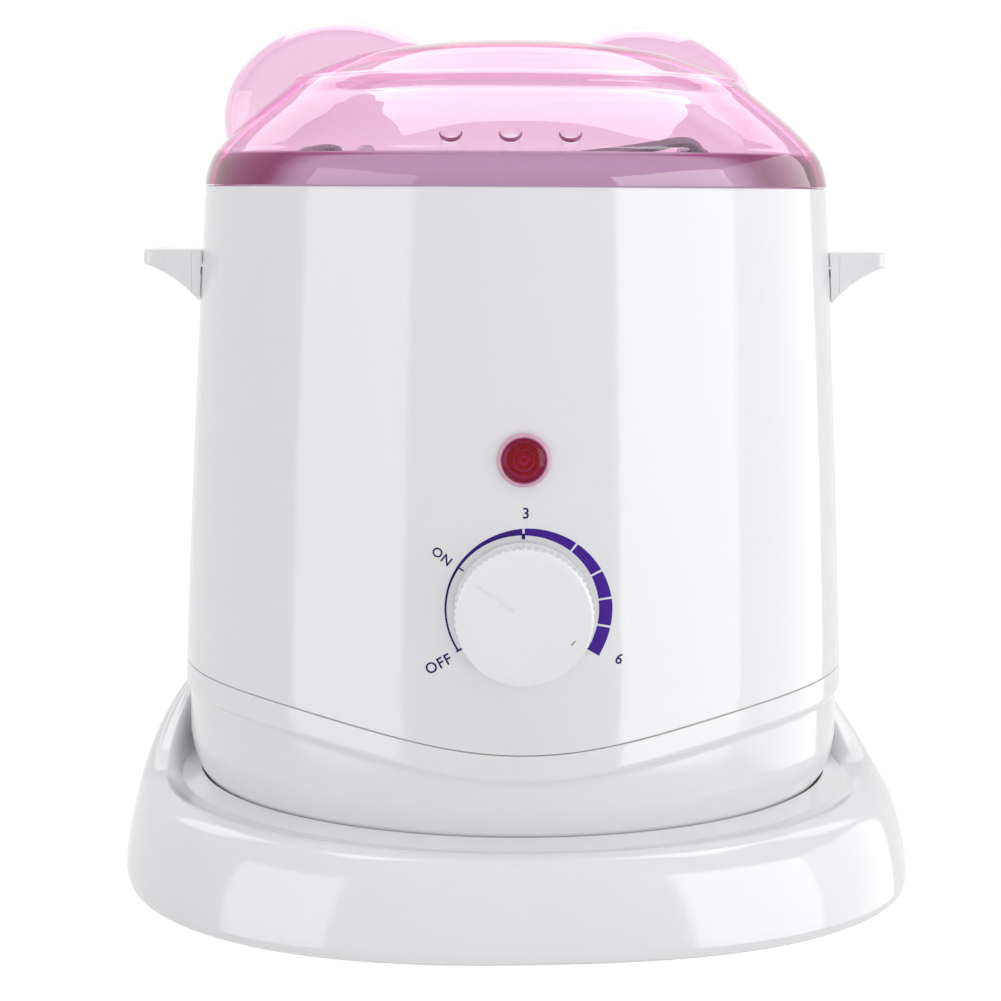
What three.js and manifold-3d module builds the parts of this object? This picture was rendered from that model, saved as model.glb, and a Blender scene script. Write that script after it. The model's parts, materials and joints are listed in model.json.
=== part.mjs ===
// Wax heater: a tapered white housing on a flared stand, with a heated chamber, a lift-out pot
// with a wire bail, and a clear pink dome lid that has two ear-shaped grips.
// Lengths are millimetres. +Z is up, the front faces -Y, and the origin is the centre of the
// footprint on the table. Azimuths run from the front (-Y) towards +X.

import * as THREE from 'three';
import { mergeVertices } from 'three/addons/utils/BufferGeometryUtils.js';
import Module from 'manifold-3d';

const wasm = await Module();
wasm.setup();

const degree = Math.PI / 180;
const fullTurn = 2 * Math.PI;

// Resolution
const roundSteps = 32;
const smallSteps = 10;
const holeSteps = 12;
const bushSteps = 16;
const screwSteps = 8;
const lugSteps = 6;
const nutSides = 6;
const leadSides = 6;

// General clearances
const fitGap = 0.3;
const nutWallGap = 1.2;
const cutOverrun = 2;

// Housing
const rimHeight = 169.5;
const rimRadius = 76.8;
const waistHeight = 44;
const waistRadius = 83.1;
const housingBulge = 0.45;
const housingWall = 2.6;
const seamSideHeight = 52.3;
const seamFrontDip = 8.5;
const seamDipSpread = 30 * degree;
const seamGap = 0.35;
const creaseDrop = 5.6;
const creaseStep = 1.2;
const lipHeight = 4;
const lipWall = 1.6;
const bowlFloorHeight = 13.8;
const bowlRimHeight = 34;
const bowlOutlineShares = [
  [0.757, 0], [0.83, 0.09], [0.891, 0.235], [0.934, 0.38], [0.965, 0.53], [0.988, 0.73], [1, 1],
];

// Stand
const standEdgeRadius = 98.3;
const standFrontShare = 0.998;
const standCornerPower = 2.5;
const standTurn = 3.6 * degree;
const standWall = 2.6;
const standEdgeLift = 0.4;
const standRidgeHeight = 23.3;
const standRearHeight = 45.6;
const standRiseStart = 80 * degree;
const standRiseEnd = 124 * degree;
const standBodyGap = 1;
const standSeatGap = 0.5;
const standMoatDrop = 0.9;
const frontRimShares = [
  [0.19, 0.973], [0.357, 1], [0.55, 0.986], [0.717, 0.892], [0.833, 0.703], [0.929, 0.45],
  [0.987, 0.225], [1, 0.117],
];
const rearRimShares = [
  [0.03, 0.965], [0.11, 1], [0.24, 0.981], [0.39, 0.88], [0.58, 0.671], [0.77, 0.394],
  [0.936, 0.185], [1, 0.06],
];
const frontUnderShares = [[0.743, 0.225], [0.647, 0.54], [0.467, 0.757], [0.287, 0.847], [0.03, 0.82]];
const rearUnderShares = [[0.724, 0.127], [0.614, 0.336], [0.402, 0.6], [0.255, 0.775], [0.184, 0.5]];
const standEdgeLand = 3;
const standEdgeChamfer = 1;
const coverLevel = 1.6;
const coverThickness = 1.8;
const coverScrewInset = 20.3;
const coverScrewCount = 4;
const coverBossRadius = 4.2;
const coverBossTop = 19;
const footRadius = 7;
const footNeckRadius = 2.4;
const footInset = 36.3;
const footSplay = 45 * degree;

// Lid
const lidWall = 2.2;
const lidOverhang = 0.2;
const lidHeight = 35.2;
const domeOutlineShares = [
  [1, 0], [0.998, 0.045], [0.985, 0.145], [0.97, 0.215], [0.958, 0.245], [0.933, 0.31], [0.885, 0.415],
  [0.83, 0.515], [0.755, 0.645], [0.7, 0.745], [0.56, 0.865], [0.455, 0.93], [0.25, 0.988], [0, 1],
];
const skirtTopShare = 0.97;
const earTurn = 13.4 * degree;
const earSpread = 39.4;
const earSetback = 18.4;
const earHalfLength = 30.8;
const earHalfHeight = 25;
const earHalfThickness = 11;
const earCentreHeight = 185.6;
const earRings = 10;
const earSides = 16;
const ventRadius = 2.5;
const ventPitch = 13.2;
const ventHeight = 179.7;
const ventCount = 3;
const ventTurn = -2.5 * degree;

// Collar between the housing and the chamber
const collarUpstand = 7.7;
const collarWall = 2;
const collarLidGap = 1;
const collarFlangeThickness = 1.6;
const collarSpigotDepth = 6;
const collarFunnelWidth = 3.3;
const ledgeWidth = 6.4;
const ledgeDrop = 4.9;
const ledgeThickness = 2.2;

// Heated chamber and what holds and warms it
const chamberSlack = 0.9;
const chamberWall = 1.5;
const chamberDepth = 67.7;
const chamberCorner = 5.5;
const chamberFlangeInset = 1.1;
const sealThickness = 1.2;
const studCircle = 44;
const studRadius = 2;
const studLength = 11;
const tieRodCount = 3;
const tieRodRadius = 3.4;
const tieBoreSlack = 0.3;
const heaterPlateRadius = 36;
const heaterPlateBore = 12;
const heaterPlateThickness = 3;
const clampPlateRadius = 51;
const clampPlateThickness = 2;
const bandThickness = 1.7;
const bandHeight = 46;
const bandLift = 5;
const sleeveThickness = 4.6;
const sleeveHeight = 56;

// Lift-out pot and its bail
const potSlack = 1.3;
const potWall = 1.2;
const potFloorGap = 5.8;
const potCorner = 3.2;
const beadWidth = 5.4;
const beadHeight = 4;
const potTurn = 42 * degree;
const lugThickness = 1.6;
const lugWidth = 7;
const lugPivotLift = 5;
const wireRadius = 1.2;
const bailChannelGap = 1.7;
const bailSag = 4;
const bailSteps = 20;
const bailHookLength = 5.5;

// Knob, thermostat and its sensor
const dialHeight = 76.5;
const knobRadius = 15.4;
const knobDepth = 10.4;
const knobStandoff = 1.1;
const knobBevel = 0.7;
const knobFluteCount = 40;
const knobFluteDepth = 0.35;
const knobRecessRadius = 12.6;
const knobRecessDepth = 7;
const knobHubRadius = 5;
const knobRestAngle = 56.5 * degree;
const pointerLength = 11;
const pointerWidth = 1;
const pointerDepth = 0.5;
const shaftRadius = 3;
const shaftFlat = 0.8;
const shaftRunningGap = 0.25;
const shaftHubDepth = 8.2;
const bushRadius = 4.6;
const bushProud = 4.4;
const bushNutRadius = 6.8;
const bushNutThickness = 2;
const thermostatRadius = 13;
const thermostatDepth = 15;
const thermostatWallGap = 2.4;
const bulbRadius = 2.6;
const bulbLength = 38;
const capillaryRadius = 0.9;
const clipThickness = 0.8;
const clipWidth = 9;
const fuseRadius = 2.2;
const fuseLength = 14;
const fuseOffset = 24;

// Pilot lamp
const lampHeight = 109.7;
const bezelRadius = 5.7;
const bezelProud = 1.5;
const bezelNeckRadius = 4.7;
const bezelNeckLength = 8;
const bezelBore = 3.8;
const lensRadius = 4.5;
const lensProud = 2.3;
const lensFacets = 16;
const lensStem = 2.5;
const neonRadius = 2.6;
const neonLength = 5;
const lampNutRadius = 7;
const lampNutThickness = 2;

// Cord gland and wiring
const glandHeight = 66;
const glandFlangeRadius = 8;
const glandFlangeThickness = 2.4;
const glandNeckRadius = 5.6;
const glandBore = 3.4;
const glandNeckLength = 9;
const glandNutRadius = 8.4;
const glandNutThickness = 3;
const terminalLength = 32;
const terminalDepth = 15;
const terminalTall = 12;
const terminalRoundRadius = 1.8;
const terminalCount = 4;
const terminalPlace = [14, 34];
const leadRadius = 1.1;

// Side handles
const handleTopHeight = 153.8;
const handleReach = 14.1;
const handleRootHeight = 12.6;
const handleTipHeight = 3.6;
const handleHalfWidth = 11;
const handleHollowShare = 0.42;
const handleHollowRise = 1.2;
const handleEndShares = [
  [-1, 0.72], [-0.9, 0.93], [-0.72, 1], [-0.36, 1], [0, 1], [0.36, 1], [0.72, 1], [0.9, 0.93], [1, 0.72],
];
const handleBossSpread = 6.5;
const handleBossRadius = 3;
const handleBossDrop = 5.2;
const handleBossProud = 2.4;

// Screws
const screwRadius = 1.4;
const screwHeadRadius = 2.9;
const screwHeadHeight = 1.2;
const coverScrewLength = 12;
const handleScrewLength = 9;
const standScrewRadius = 1.9;
const standScrewHeadRadius = 3.6;
const standScrewHeadHeight = 2.2;
const standScrewReach = 11;
const slotWidth = 0.8;
const slotDepth = 0.6;

// Sizes that follow from those above
const lidRadius = rimRadius + lidOverhang;
const lidLevel = rimHeight + 0.5 * fitGap;
const upstandRadius = skirtTopShare * lidRadius - lidWall - collarLidGap;
const upstandInner = upstandRadius - collarWall;
const funnelRadius = upstandInner - collarFunnelWidth;
const ledgeRadius = funnelRadius - ledgeWidth;
const ledgeHeight = rimHeight - ledgeDrop;
const chamberOuter = ledgeRadius - chamberSlack;
const chamberInner = chamberOuter - chamberWall;
const flangeBottom = ledgeHeight + sealThickness + fitGap;
const flangeTop = flangeBottom + chamberWall;
const chamberFloor = flangeTop - chamberDepth;
const chamberBottom = chamberFloor - chamberWall;
const potOuter = chamberInner - potSlack;
const potInner = potOuter - potWall;
const potBottom = chamberFloor + potFloorGap;
const potFloor = potBottom + potWall;
const beadOuter = potOuter + beadWidth;
const beadBottom = flangeTop + fitGap;
const beadTop = beadBottom + beadHeight;
const bailRadius = beadOuter + wireRadius + bailChannelGap;
const pivotHeight = beadTop + lugPivotLift;
const bowlRadius = waistRadius - creaseStep;
const bowlFloorTop = bowlFloorHeight + housingWall;
const clampPlateTop = chamberBottom - fitGap - heaterPlateThickness - fitGap;
const clampPlateBottom = clampPlateTop - clampPlateThickness;
const coverTop = coverLevel + coverThickness;
const moatRadius = waistRadius + standBodyGap;
const coverScrewCircle = standEdgeRadius - coverScrewInset;
const footCircle = standEdgeRadius - footInset;

// Materials
function finish(color, roughness, metalness = 0) {
  return new THREE.MeshStandardMaterial({ color, roughness, metalness });
}

const whitePlastic = () => finish(0xf1f1f3, 0.18);
const greyPlastic = () => finish(0x8d9096, 0.55);
const blackRubber = () => finish(0x2a2a2c, 0.85);
const aluminium = () => finish(0xc9cbcf, 0.32, 1);
const steel = () => finish(0xb4b6ba, 0.28, 1);
const pinkClear = () => finish(0xf0aede, 0.06);

// Basic solids

// Closes a geometry: merges its shared corners, drops empty triangles and turns it outwards.
function closed(geometry) {
  const bare = geometry.index ? geometry.toNonIndexed() : geometry.clone();
  bare.deleteAttribute('normal');
  bare.deleteAttribute('uv');
  const merged = mergeVertices(bare);
  const place = merged.attributes.position;
  const corners = [];
  const a = new THREE.Vector3();
  const b = new THREE.Vector3();
  const c = new THREE.Vector3();
  let volume = 0;
  for (let i = 0; i < merged.index.count; i += 3) {
    const [p, q, r] = [merged.index.getX(i), merged.index.getX(i + 1), merged.index.getX(i + 2)];
    if (p === q || q === r || r === p) continue;
    corners.push(p, q, r);
    a.fromBufferAttribute(place, p);
    b.fromBufferAttribute(place, q);
    c.fromBufferAttribute(place, r);
    volume += a.dot(b.cross(c));
  }
  if (volume < 0) {
    corners.reverse();
  }
  merged.setIndex(corners);
  return merged;
}

function toSolid(geometry) {
  const ready = closed(geometry);
  const mesh = new wasm.Mesh({
    numProp: 3,
    vertProperties: new Float32Array(ready.attributes.position.array),
    triVerts: new Uint32Array(ready.index.array),
  });
  return new wasm.Manifold(mesh);
}

function toGeometry(solid) {
  const mesh = solid.getMesh();
  const geometry = new THREE.BufferGeometry();
  geometry.setAttribute('position', new THREE.BufferAttribute(new Float32Array(mesh.vertProperties), 3));
  geometry.setIndex(Array.from(mesh.triVerts));
  return geometry;
}

function cut(geometry, ...tools) {
  let solid = toSolid(geometry);
  for (const tool of tools) {
    solid = solid.subtract(toSolid(tool));
  }
  return toGeometry(solid);
}

function join(geometry, ...others) {
  let solid = toSolid(geometry);
  for (const other of others) {
    solid = solid.add(toSolid(other));
  }
  return toGeometry(solid);
}

// A point at an azimuth round the upright axis.
function polar(radius, azimuth, height) {
  return new THREE.Vector3(radius * Math.sin(azimuth), -radius * Math.cos(azimuth), height);
}

// Turns an outline of [radius, height] points about the upright axis.
function turned(outline, steps = roundSteps) {
  const points = outline.map(([radius, height]) => new THREE.Vector2(radius, height));
  return closed(new THREE.LatheGeometry(points, steps).rotateX(Math.PI / 2));
}

// A ring or disc turned from a closed loop: the first point is repeated at the end.
function turnedLoop(outline, steps = roundSteps) {
  return turned([...outline, outline[0]], steps);
}

// A plain ring with square corners.
function ring(innerRadius, outerRadius, bottom, top, steps = roundSteps) {
  const corners = [[innerRadius, bottom], [outerRadius, bottom], [outerRadius, top], [innerRadius, top]];
  return turnedLoop(corners, steps);
}

// Lofts the closed outline that outlineAt gives for each azimuth round the upright axis.
function loftRound(outlineAt, steps = roundSteps) {
  const place = [];
  const index = [];
  let count = 0;
  for (let i = 0; i < steps; i += 1) {
    const azimuth = (i / steps) * fullTurn;
    const outline = outlineAt(azimuth);
    count = outline.length;
    for (const [radius, height] of outline) {
      place.push(...polar(radius, azimuth, height).toArray());
    }
  }
  for (let i = 0; i < steps; i += 1) {
    for (let j = 0; j < count; j += 1) {
      const here = i * count + j;
      const next = i * count + ((j + 1) % count);
      const beside = ((i + 1) % steps) * count + j;
      const across = ((i + 1) % steps) * count + ((j + 1) % count);
      index.push(here, next, across, here, across, beside);
    }
  }
  const geometry = new THREE.BufferGeometry();
  geometry.setAttribute('position', new THREE.BufferAttribute(new Float32Array(place), 3));
  geometry.setIndex(index);
  return closed(geometry);
}

// Skins a row of closed sections and closes both ends with a fan from each section's first point.
function skinned(sections) {
  const count = sections[0].length;
  const last = sections.length - 1;
  const place = sections.flatMap((section) => section.flatMap((point) => point.toArray()));
  const index = [];
  for (let i = 0; i < last; i += 1) {
    for (let j = 0; j < count; j += 1) {
      const next = (j + 1) % count;
      index.push(i * count + j, i * count + next, (i + 1) * count + next);
      index.push(i * count + j, (i + 1) * count + next, (i + 1) * count + j);
    }
  }
  for (let j = 1; j < count - 1; j += 1) {
    index.push(0, j + 1, j);
    index.push(last * count, last * count + j, last * count + j + 1);
  }
  const geometry = new THREE.BufferGeometry();
  geometry.setAttribute('position', new THREE.BufferAttribute(new Float32Array(place), 3));
  geometry.setIndex(index);
  return closed(geometry);
}

// A round bar between two points.
function bar(start, end, radius, sides = smallSteps) {
  const along = end.clone().sub(start);
  const geometry = new THREE.CylinderGeometry(radius, radius, along.length(), sides);
  const lean = new THREE.Quaternion().setFromUnitVectors(new THREE.Vector3(0, 1, 0), along.normalize());
  geometry.applyQuaternion(lean);
  geometry.translate(...start.clone().add(end).multiplyScalar(0.5).toArray());
  return geometry;
}

function uprightBar(x, y, bottom, top, radius, sides = smallSteps) {
  return bar(new THREE.Vector3(x, y, bottom), new THREE.Vector3(x, y, top), radius, sides);
}

function block(width, depth, height, x, y, z) {
  return new THREE.BoxGeometry(width, depth, height).translate(x, y, z);
}

// A round tube along a curve.
function tube(points, radius, sides = leadSides, steps = 3 * points.length) {
  const section = new THREE.Shape();
  for (let i = 0; i < sides; i += 1) {
    const angle = (i / sides) * fullTurn;
    const [x, y] = [radius * Math.cos(angle), radius * Math.sin(angle)];
    if (i === 0) section.moveTo(x, y);
    else section.lineTo(x, y);
  }
  section.closePath();
  const path = new THREE.CatmullRomCurve3(points);
  return closed(new THREE.ExtrudeGeometry(section, { steps, extrudePath: path, bevelEnabled: false }));
}

// Stands a solid that was turned about +Z so that its +Z end faces the front.
function facingFront(geometry, x, y, z) {
  return geometry.rotateX(Math.PI / 2).translate(x, y, z);
}

// Offsets an open outline sideways, to the right of its direction.
function offsetOutline(outline, distance) {
  return outline.map(([radius, height], i) => {
    const before = outline[Math.max(i - 1, 0)];
    const after = outline[Math.min(i + 1, outline.length - 1)];
    const along = new THREE.Vector2(after[0] - before[0], after[1] - before[1]).normalize();
    return [Math.max(radius + distance * along.y, 0), height - distance * along.x];
  });
}

function blend(from, to, share) {
  return from + (to - from) * share;
}

// A pan-head screw standing on its head, with its thread up.
function screw(radius, headRadius, headHeight, length) {
  const outline = [
    [0, 0], [0.8 * headRadius, 0], [headRadius, 0.5 * headHeight], [headRadius, headHeight],
    [radius, headHeight], [radius, headHeight + length - radius], [0, headHeight + length],
  ];
  return turned(outline, screwSteps);
}

// Cuts a cross slot in the head of a screw that stands on its head.
function crossSlotted(screwGeometry, headRadius) {
  const slotLength = 1.2 * headRadius;
  return cut(
    screwGeometry,
    block(slotLength, slotWidth, 2 * slotDepth, 0, 0, 0),
    block(slotWidth, slotLength, 2 * slotDepth, 0, 0, 0),
  );
}

// Housing outlines

function housingRadius(height) {
  const share = (height - waistHeight) / (rimHeight - waistHeight);
  return blend(waistRadius, rimRadius, share) + housingBulge * 4 * share * (1 - share);
}

function seamHeight(azimuth) {
  const fromFront = Math.atan2(Math.sin(azimuth), Math.cos(azimuth));
  return seamSideHeight - seamFrontDip * Math.exp(-((fromFront / seamDipSpread) ** 2));
}

const bowlOutline = bowlOutlineShares.map(([radiusShare, heightShare]) => [
  bowlRadius * radiusShare,
  blend(bowlFloorHeight, bowlRimHeight, heightShare),
]);

function tieAzimuth(i) {
  return (i / tieRodCount) * fullTurn + 0.25 * fullTurn;
}

// Stand

function standPlan(radius, azimuth) {
  const own = azimuth - standTurn;
  const across = Math.abs(Math.sin(own)) ** standCornerPower;
  const along = Math.abs(Math.cos(own) / standFrontShare) ** standCornerPower;
  const edgeShare = (across + along) ** (-1 / standCornerPower);
  const outward = THREE.MathUtils.clamp((radius - moatRadius) / (standEdgeRadius - moatRadius), 0, 1);
  return radius * blend(1, edgeShare, outward);
}

function standRise(azimuth) {
  const own = azimuth - standTurn;
  const fromFront = Math.abs(Math.atan2(Math.sin(own), Math.cos(own)));
  return THREE.MathUtils.smoothstep(fromFront, standRiseStart, standRiseEnd);
}

// Spreads a list of shares from the moat to the edge, part way between the front and rear rims.
function rimPoints(frontShares, rearShares, rise) {
  return frontShares.map((front, i) => [
    blend(moatRadius, standEdgeRadius, blend(front[0], rearShares[i][0], rise)),
    blend(standRidgeHeight * front[1], standRearHeight * rearShares[i][1], rise),
  ]);
}

function standOutline(azimuth) {
  const rise = standRise(azimuth);
  const seat = offsetOutline(bowlOutline, standSeatGap).slice(0, 5);
  const under = offsetOutline(bowlOutline, standSeatGap + standWall).slice(0, 4).reverse();
  const crest = seat[seat.length - 1];
  const moat = [moatRadius, standRidgeHeight - standMoatDrop * (1 - rise)];
  const rim = rimPoints(frontRimShares, rearRimShares, rise);
  const hollow = rimPoints(frontUnderShares, rearUnderShares, rise);
  const edge = [
    [standEdgeRadius - standEdgeChamfer, standEdgeLift],
    [standEdgeRadius - standEdgeChamfer - standEdgeLand, standEdgeLift],
  ];
  const outline = [
    [0, seat[0][1]], ...seat.slice(0, -1), crest, moat, ...rim,
    ...edge, ...hollow, ...under, [0, under[under.length - 1][1]],
  ];
  return outline.map(([radius, height]) => [standPlan(radius, azimuth), height]);
}

function coverScrewAzimuth(i) {
  return (i / coverScrewCount) * fullTurn;
}

function makeStand() {
  const bosses = [];
  const holes = [];
  for (let i = 0; i < coverScrewCount; i += 1) {
    const spot = polar(coverScrewCircle, coverScrewAzimuth(i), 0);
    bosses.push(uprightBar(spot.x, spot.y, coverTop + fitGap, coverBossTop, coverBossRadius));
    holes.push(uprightBar(spot.x, spot.y, 0, coverTop + coverScrewLength, screwRadius + 0.5 * fitGap));
  }
  for (let i = 0; i < tieRodCount; i += 1) {
    const spot = polar(studCircle, tieAzimuth(i), 0);
    holes.push(uprightBar(spot.x, spot.y, 0, bowlFloorTop, standScrewRadius + fitGap));
  }
  return cut(join(loftRound(standOutline), ...bosses), ...holes);
}

function makeBottomCover() {
  const edge = standEdgeRadius - standEdgeChamfer - standEdgeLand - fitGap;
  const plate = loftRound((azimuth) => [
    [0, coverTop],
    [standPlan(edge, azimuth), coverTop],
    [standPlan(edge, azimuth), coverLevel],
    [0, coverLevel],
  ]);
  const holes = [];
  for (let i = 0; i < coverScrewCount; i += 1) {
    const spot = polar(coverScrewCircle, coverScrewAzimuth(i), 0);
    holes.push(uprightBar(spot.x, spot.y, 0, coverTop + cutOverrun, screwRadius + fitGap));
    const foot = polar(footCircle, coverScrewAzimuth(i) + footSplay, 0);
    holes.push(uprightBar(foot.x, foot.y, 0, coverTop + cutOverrun, footNeckRadius + fitGap));
  }
  return cut(plate, ...holes);
}

function makeFoot() {
  const padTop = coverLevel - 0.5 * fitGap;
  const headBottom = coverTop + fitGap;
  const headRadius = footNeckRadius + 2 * fitGap;
  return turned([
    [0, 0],
    [0.9 * footRadius, 0],
    [footRadius, 0.4 * padTop],
    [footRadius, padTop],
    [footNeckRadius, padTop],
    [footNeckRadius, headBottom],
    [headRadius, headBottom],
    [0.8 * footNeckRadius, headBottom + coverThickness],
    [0, headBottom + coverThickness],
  ], smallSteps);
}

// Housing shells

function lowerOutline(azimuth) {
  const seam = seamHeight(azimuth) - seamGap;
  const crease = seam - creaseDrop;
  const outside = [...bowlOutline].reverse();
  const inside = offsetOutline(bowlOutline, -housingWall);
  const lipOuter = housingRadius(seam) - housingWall - fitGap;
  return [
    [housingRadius(seam), seam],
    [housingRadius(crease), crease],
    [bowlRadius, crease - creaseStep],
    ...outside,
    [0, bowlFloorHeight],
    [0, bowlFloorTop],
    ...inside,
    [lipOuter - lipWall, seam],
    [lipOuter - lipWall, seam + lipHeight],
    [lipOuter, seam + lipHeight],
    [lipOuter, seam],
  ];
}

function makeLowerHousing() {
  const holes = [];
  for (let i = 0; i < tieRodCount; i += 1) {
    const spot = polar(studCircle, tieAzimuth(i), 0);
    holes.push(uprightBar(spot.x, spot.y, 0, bowlFloorTop + cutOverrun, standScrewRadius + fitGap));
  }
  return cut(loftRound(lowerOutline), ...holes);
}

const housingTop = rimHeight - collarFlangeThickness - 0.5 * fitGap;
const wallLevelShares = [0, 0.15, 0.32, 0.5, 0.68, 0.85, 1];

function upperOutline(azimuth) {
  const bottom = seamHeight(azimuth) + seamGap;
  const levels = wallLevelShares.map((share) => blend(bottom, housingTop, share));
  const outside = levels.map((height) => [housingRadius(height), height]);
  const inside = levels.map((height) => [housingRadius(height) - housingWall, height]);
  return [...outside, ...inside.reverse()];
}

function frontFace(height) {
  return -housingRadius(height);
}

function bossSpot(side, end) {
  const height = handleTopHeight - handleBossDrop;
  return new THREE.Vector3(side * housingRadius(height), end * handleBossSpread, height);
}

function makeUpperHousing() {
  const inward = 3 * housingWall;
  const holes = [
    bar(
      new THREE.Vector3(0, frontFace(dialHeight) - cutOverrun, dialHeight),
      new THREE.Vector3(0, frontFace(dialHeight) + inward, dialHeight),
      bushRadius + fitGap,
      holeSteps,
    ),
    bar(
      new THREE.Vector3(0, frontFace(lampHeight) - cutOverrun, lampHeight),
      new THREE.Vector3(0, frontFace(lampHeight) + inward, lampHeight),
      bezelNeckRadius + fitGap,
      holeSteps,
    ),
    bar(
      new THREE.Vector3(0, housingRadius(glandHeight) + cutOverrun, glandHeight),
      new THREE.Vector3(0, housingRadius(glandHeight) - inward, glandHeight),
      glandNeckRadius + fitGap,
      holeSteps,
    ),
  ];
  for (const side of [-1, 1]) {
    for (const end of [-1, 1]) {
      const spot = bossSpot(side, end);
      const outer = spot.clone().setX(spot.x + side * cutOverrun);
      const inner = spot.clone().setX(spot.x - side * 2 * inward);
      holes.push(bar(outer, inner, handleBossRadius + fitGap));
    }
  }
  return cut(loftRound(upperOutline), ...holes);
}

function makeCollar() {
  const underside = rimHeight - collarFlangeThickness;
  const spigotOuter = housingRadius(underside) - housingWall - fitGap;
  const top = rimHeight + collarUpstand;
  const lip = 0.3 * collarWall;
  return turnedLoop([
    [rimRadius, rimHeight],
    [upstandRadius + 0.5 * lip, rimHeight],
    [upstandRadius, top - lip],
    [upstandRadius - lip, top],
    [upstandInner + lip, top],
    [upstandInner, top - lip],
    [blend(funnelRadius, upstandInner, 0.4), rimHeight],
    [funnelRadius, ledgeHeight],
    [ledgeRadius, ledgeHeight],
    [ledgeRadius, ledgeHeight - ledgeThickness],
    [funnelRadius + 0.8 * collarWall, ledgeHeight - ledgeThickness],
    [blend(funnelRadius, upstandInner, 0.4) + collarWall, underside],
    [spigotOuter - collarWall, underside],
    [spigotOuter - collarWall, underside - collarSpigotDepth],
    [spigotOuter, underside - collarSpigotDepth],
    [spigotOuter, underside],
    [rimRadius, underside],
  ]);
}

function handleSection(side, y, reachShare) {
  const inner = (height) => Math.sqrt((housingRadius(height) + fitGap) ** 2 - y ** 2);
  const rootBottom = handleTopHeight - handleRootHeight;
  const tip = inner(handleTopHeight) + handleReach * reachShare;
  const tipBottom = handleTopHeight - handleTipHeight;
  const hollowX = blend(inner(rootBottom), tip, handleHollowShare);
  const hollowHeight = blend(rootBottom, tipBottom, handleHollowShare) + handleHollowRise;
  return [
    [inner(handleTopHeight), handleTopHeight],
    [tip - 0.2 * handleTipHeight, handleTopHeight],
    [tip, handleTopHeight - 0.2 * handleTipHeight],
    [tip, tipBottom],
    [hollowX, hollowHeight],
    [inner(rootBottom), rootBottom],
  ].map(([x, height]) => new THREE.Vector3(side * x, y, height));
}

function makeHandle(side) {
  const sections = handleEndShares.map(([widthShare, reachShare]) => (
    handleSection(side, widthShare * handleHalfWidth, reachShare)
  ));
  const bosses = [];
  const bores = [];
  for (const end of [-1, 1]) {
    const spot = bossSpot(side, end);
    const inner = spot.clone().setX(side * (Math.abs(spot.x) - housingWall - handleBossProud));
    const outer = spot.clone().setX(side * (Math.abs(spot.x) + 0.25 * handleReach));
    bosses.push(bar(inner, outer, handleBossRadius));
    const boreStart = inner.clone().setX(inner.x - side * cutOverrun);
    const boreEnd = inner.clone().setX(inner.x + side * handleScrewLength);
    bores.push(bar(boreStart, boreEnd, screwRadius + 0.5 * fitGap));
  }
  return cut(join(skinned(sections), ...bosses), ...bores);
}

function makeHandleScrew(side, end) {
  const spot = bossSpot(side, end);
  const headSide = Math.abs(spot.x) - housingWall - handleBossProud - fitGap - screwHeadHeight;
  const geometry = screw(screwRadius, screwHeadRadius, screwHeadHeight, handleScrewLength - 2 * fitGap);
  return geometry.rotateY(side * 0.25 * fullTurn).translate(side * headSide, spot.y, spot.z);
}

// Chamber and heating parts

function makeChamber() {
  const outline = [
    [0, chamberFloor],
    [chamberInner - chamberCorner, chamberFloor],
    [chamberInner - 0.3 * chamberCorner, chamberFloor + 0.3 * chamberCorner],
    [chamberInner, chamberFloor + chamberCorner],
    [chamberInner, flangeTop],
    [funnelRadius - chamberFlangeInset, flangeTop],
    [funnelRadius - chamberFlangeInset, flangeBottom],
    [chamberOuter, flangeBottom],
    [chamberOuter, chamberFloor + chamberCorner],
    [chamberOuter - 0.3 * chamberCorner, chamberBottom + 0.3 * chamberCorner],
    [chamberInner - chamberCorner, chamberBottom],
    [0, chamberBottom],
  ];
  const studs = [];
  for (let i = 0; i < tieRodCount; i += 1) {
    const spot = polar(studCircle, tieAzimuth(i), 0);
    const root = chamberBottom + 0.5 * chamberWall;
    studs.push(uprightBar(spot.x, spot.y, chamberBottom - studLength, root, studRadius));
  }
  return join(turned(outline), ...studs);
}

function makeTieRod(i) {
  const spot = polar(studCircle, tieAzimuth(i), 0);
  const bottom = bowlFloorTop + fitGap;
  const top = clampPlateBottom - fitGap;
  const rod = uprightBar(spot.x, spot.y, bottom, top, tieRodRadius, nutSides);
  const studBore = chamberBottom - studLength - fitGap;
  return cut(
    rod,
    uprightBar(spot.x, spot.y, studBore, top + cutOverrun, studRadius + tieBoreSlack),
    uprightBar(spot.x, spot.y, 0, bottom + standScrewReach, standScrewRadius + tieBoreSlack),
  );
}

function makeClampPlate() {
  const holes = [];
  for (let i = 0; i < tieRodCount; i += 1) {
    const spot = polar(studCircle, tieAzimuth(i), 0);
    holes.push(uprightBar(spot.x, spot.y, 0, chamberFloor, studRadius + fitGap));
  }
  return cut(ring(heaterPlateBore, clampPlateRadius, clampPlateBottom, clampPlateTop), ...holes);
}

function makeStandScrew(i) {
  const spot = polar(studCircle, tieAzimuth(i), 0);
  const seatUnder = bowlFloorHeight - standSeatGap - standWall;
  const bottom = seatUnder - fitGap - standScrewHeadHeight;
  const length = bowlFloorTop + standScrewReach - fitGap - bottom - standScrewHeadHeight;
  const geometry = screw(standScrewRadius, standScrewHeadRadius, standScrewHeadHeight, length);
  return geometry.translate(spot.x, spot.y, bottom);
}

// Pot and bail

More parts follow.
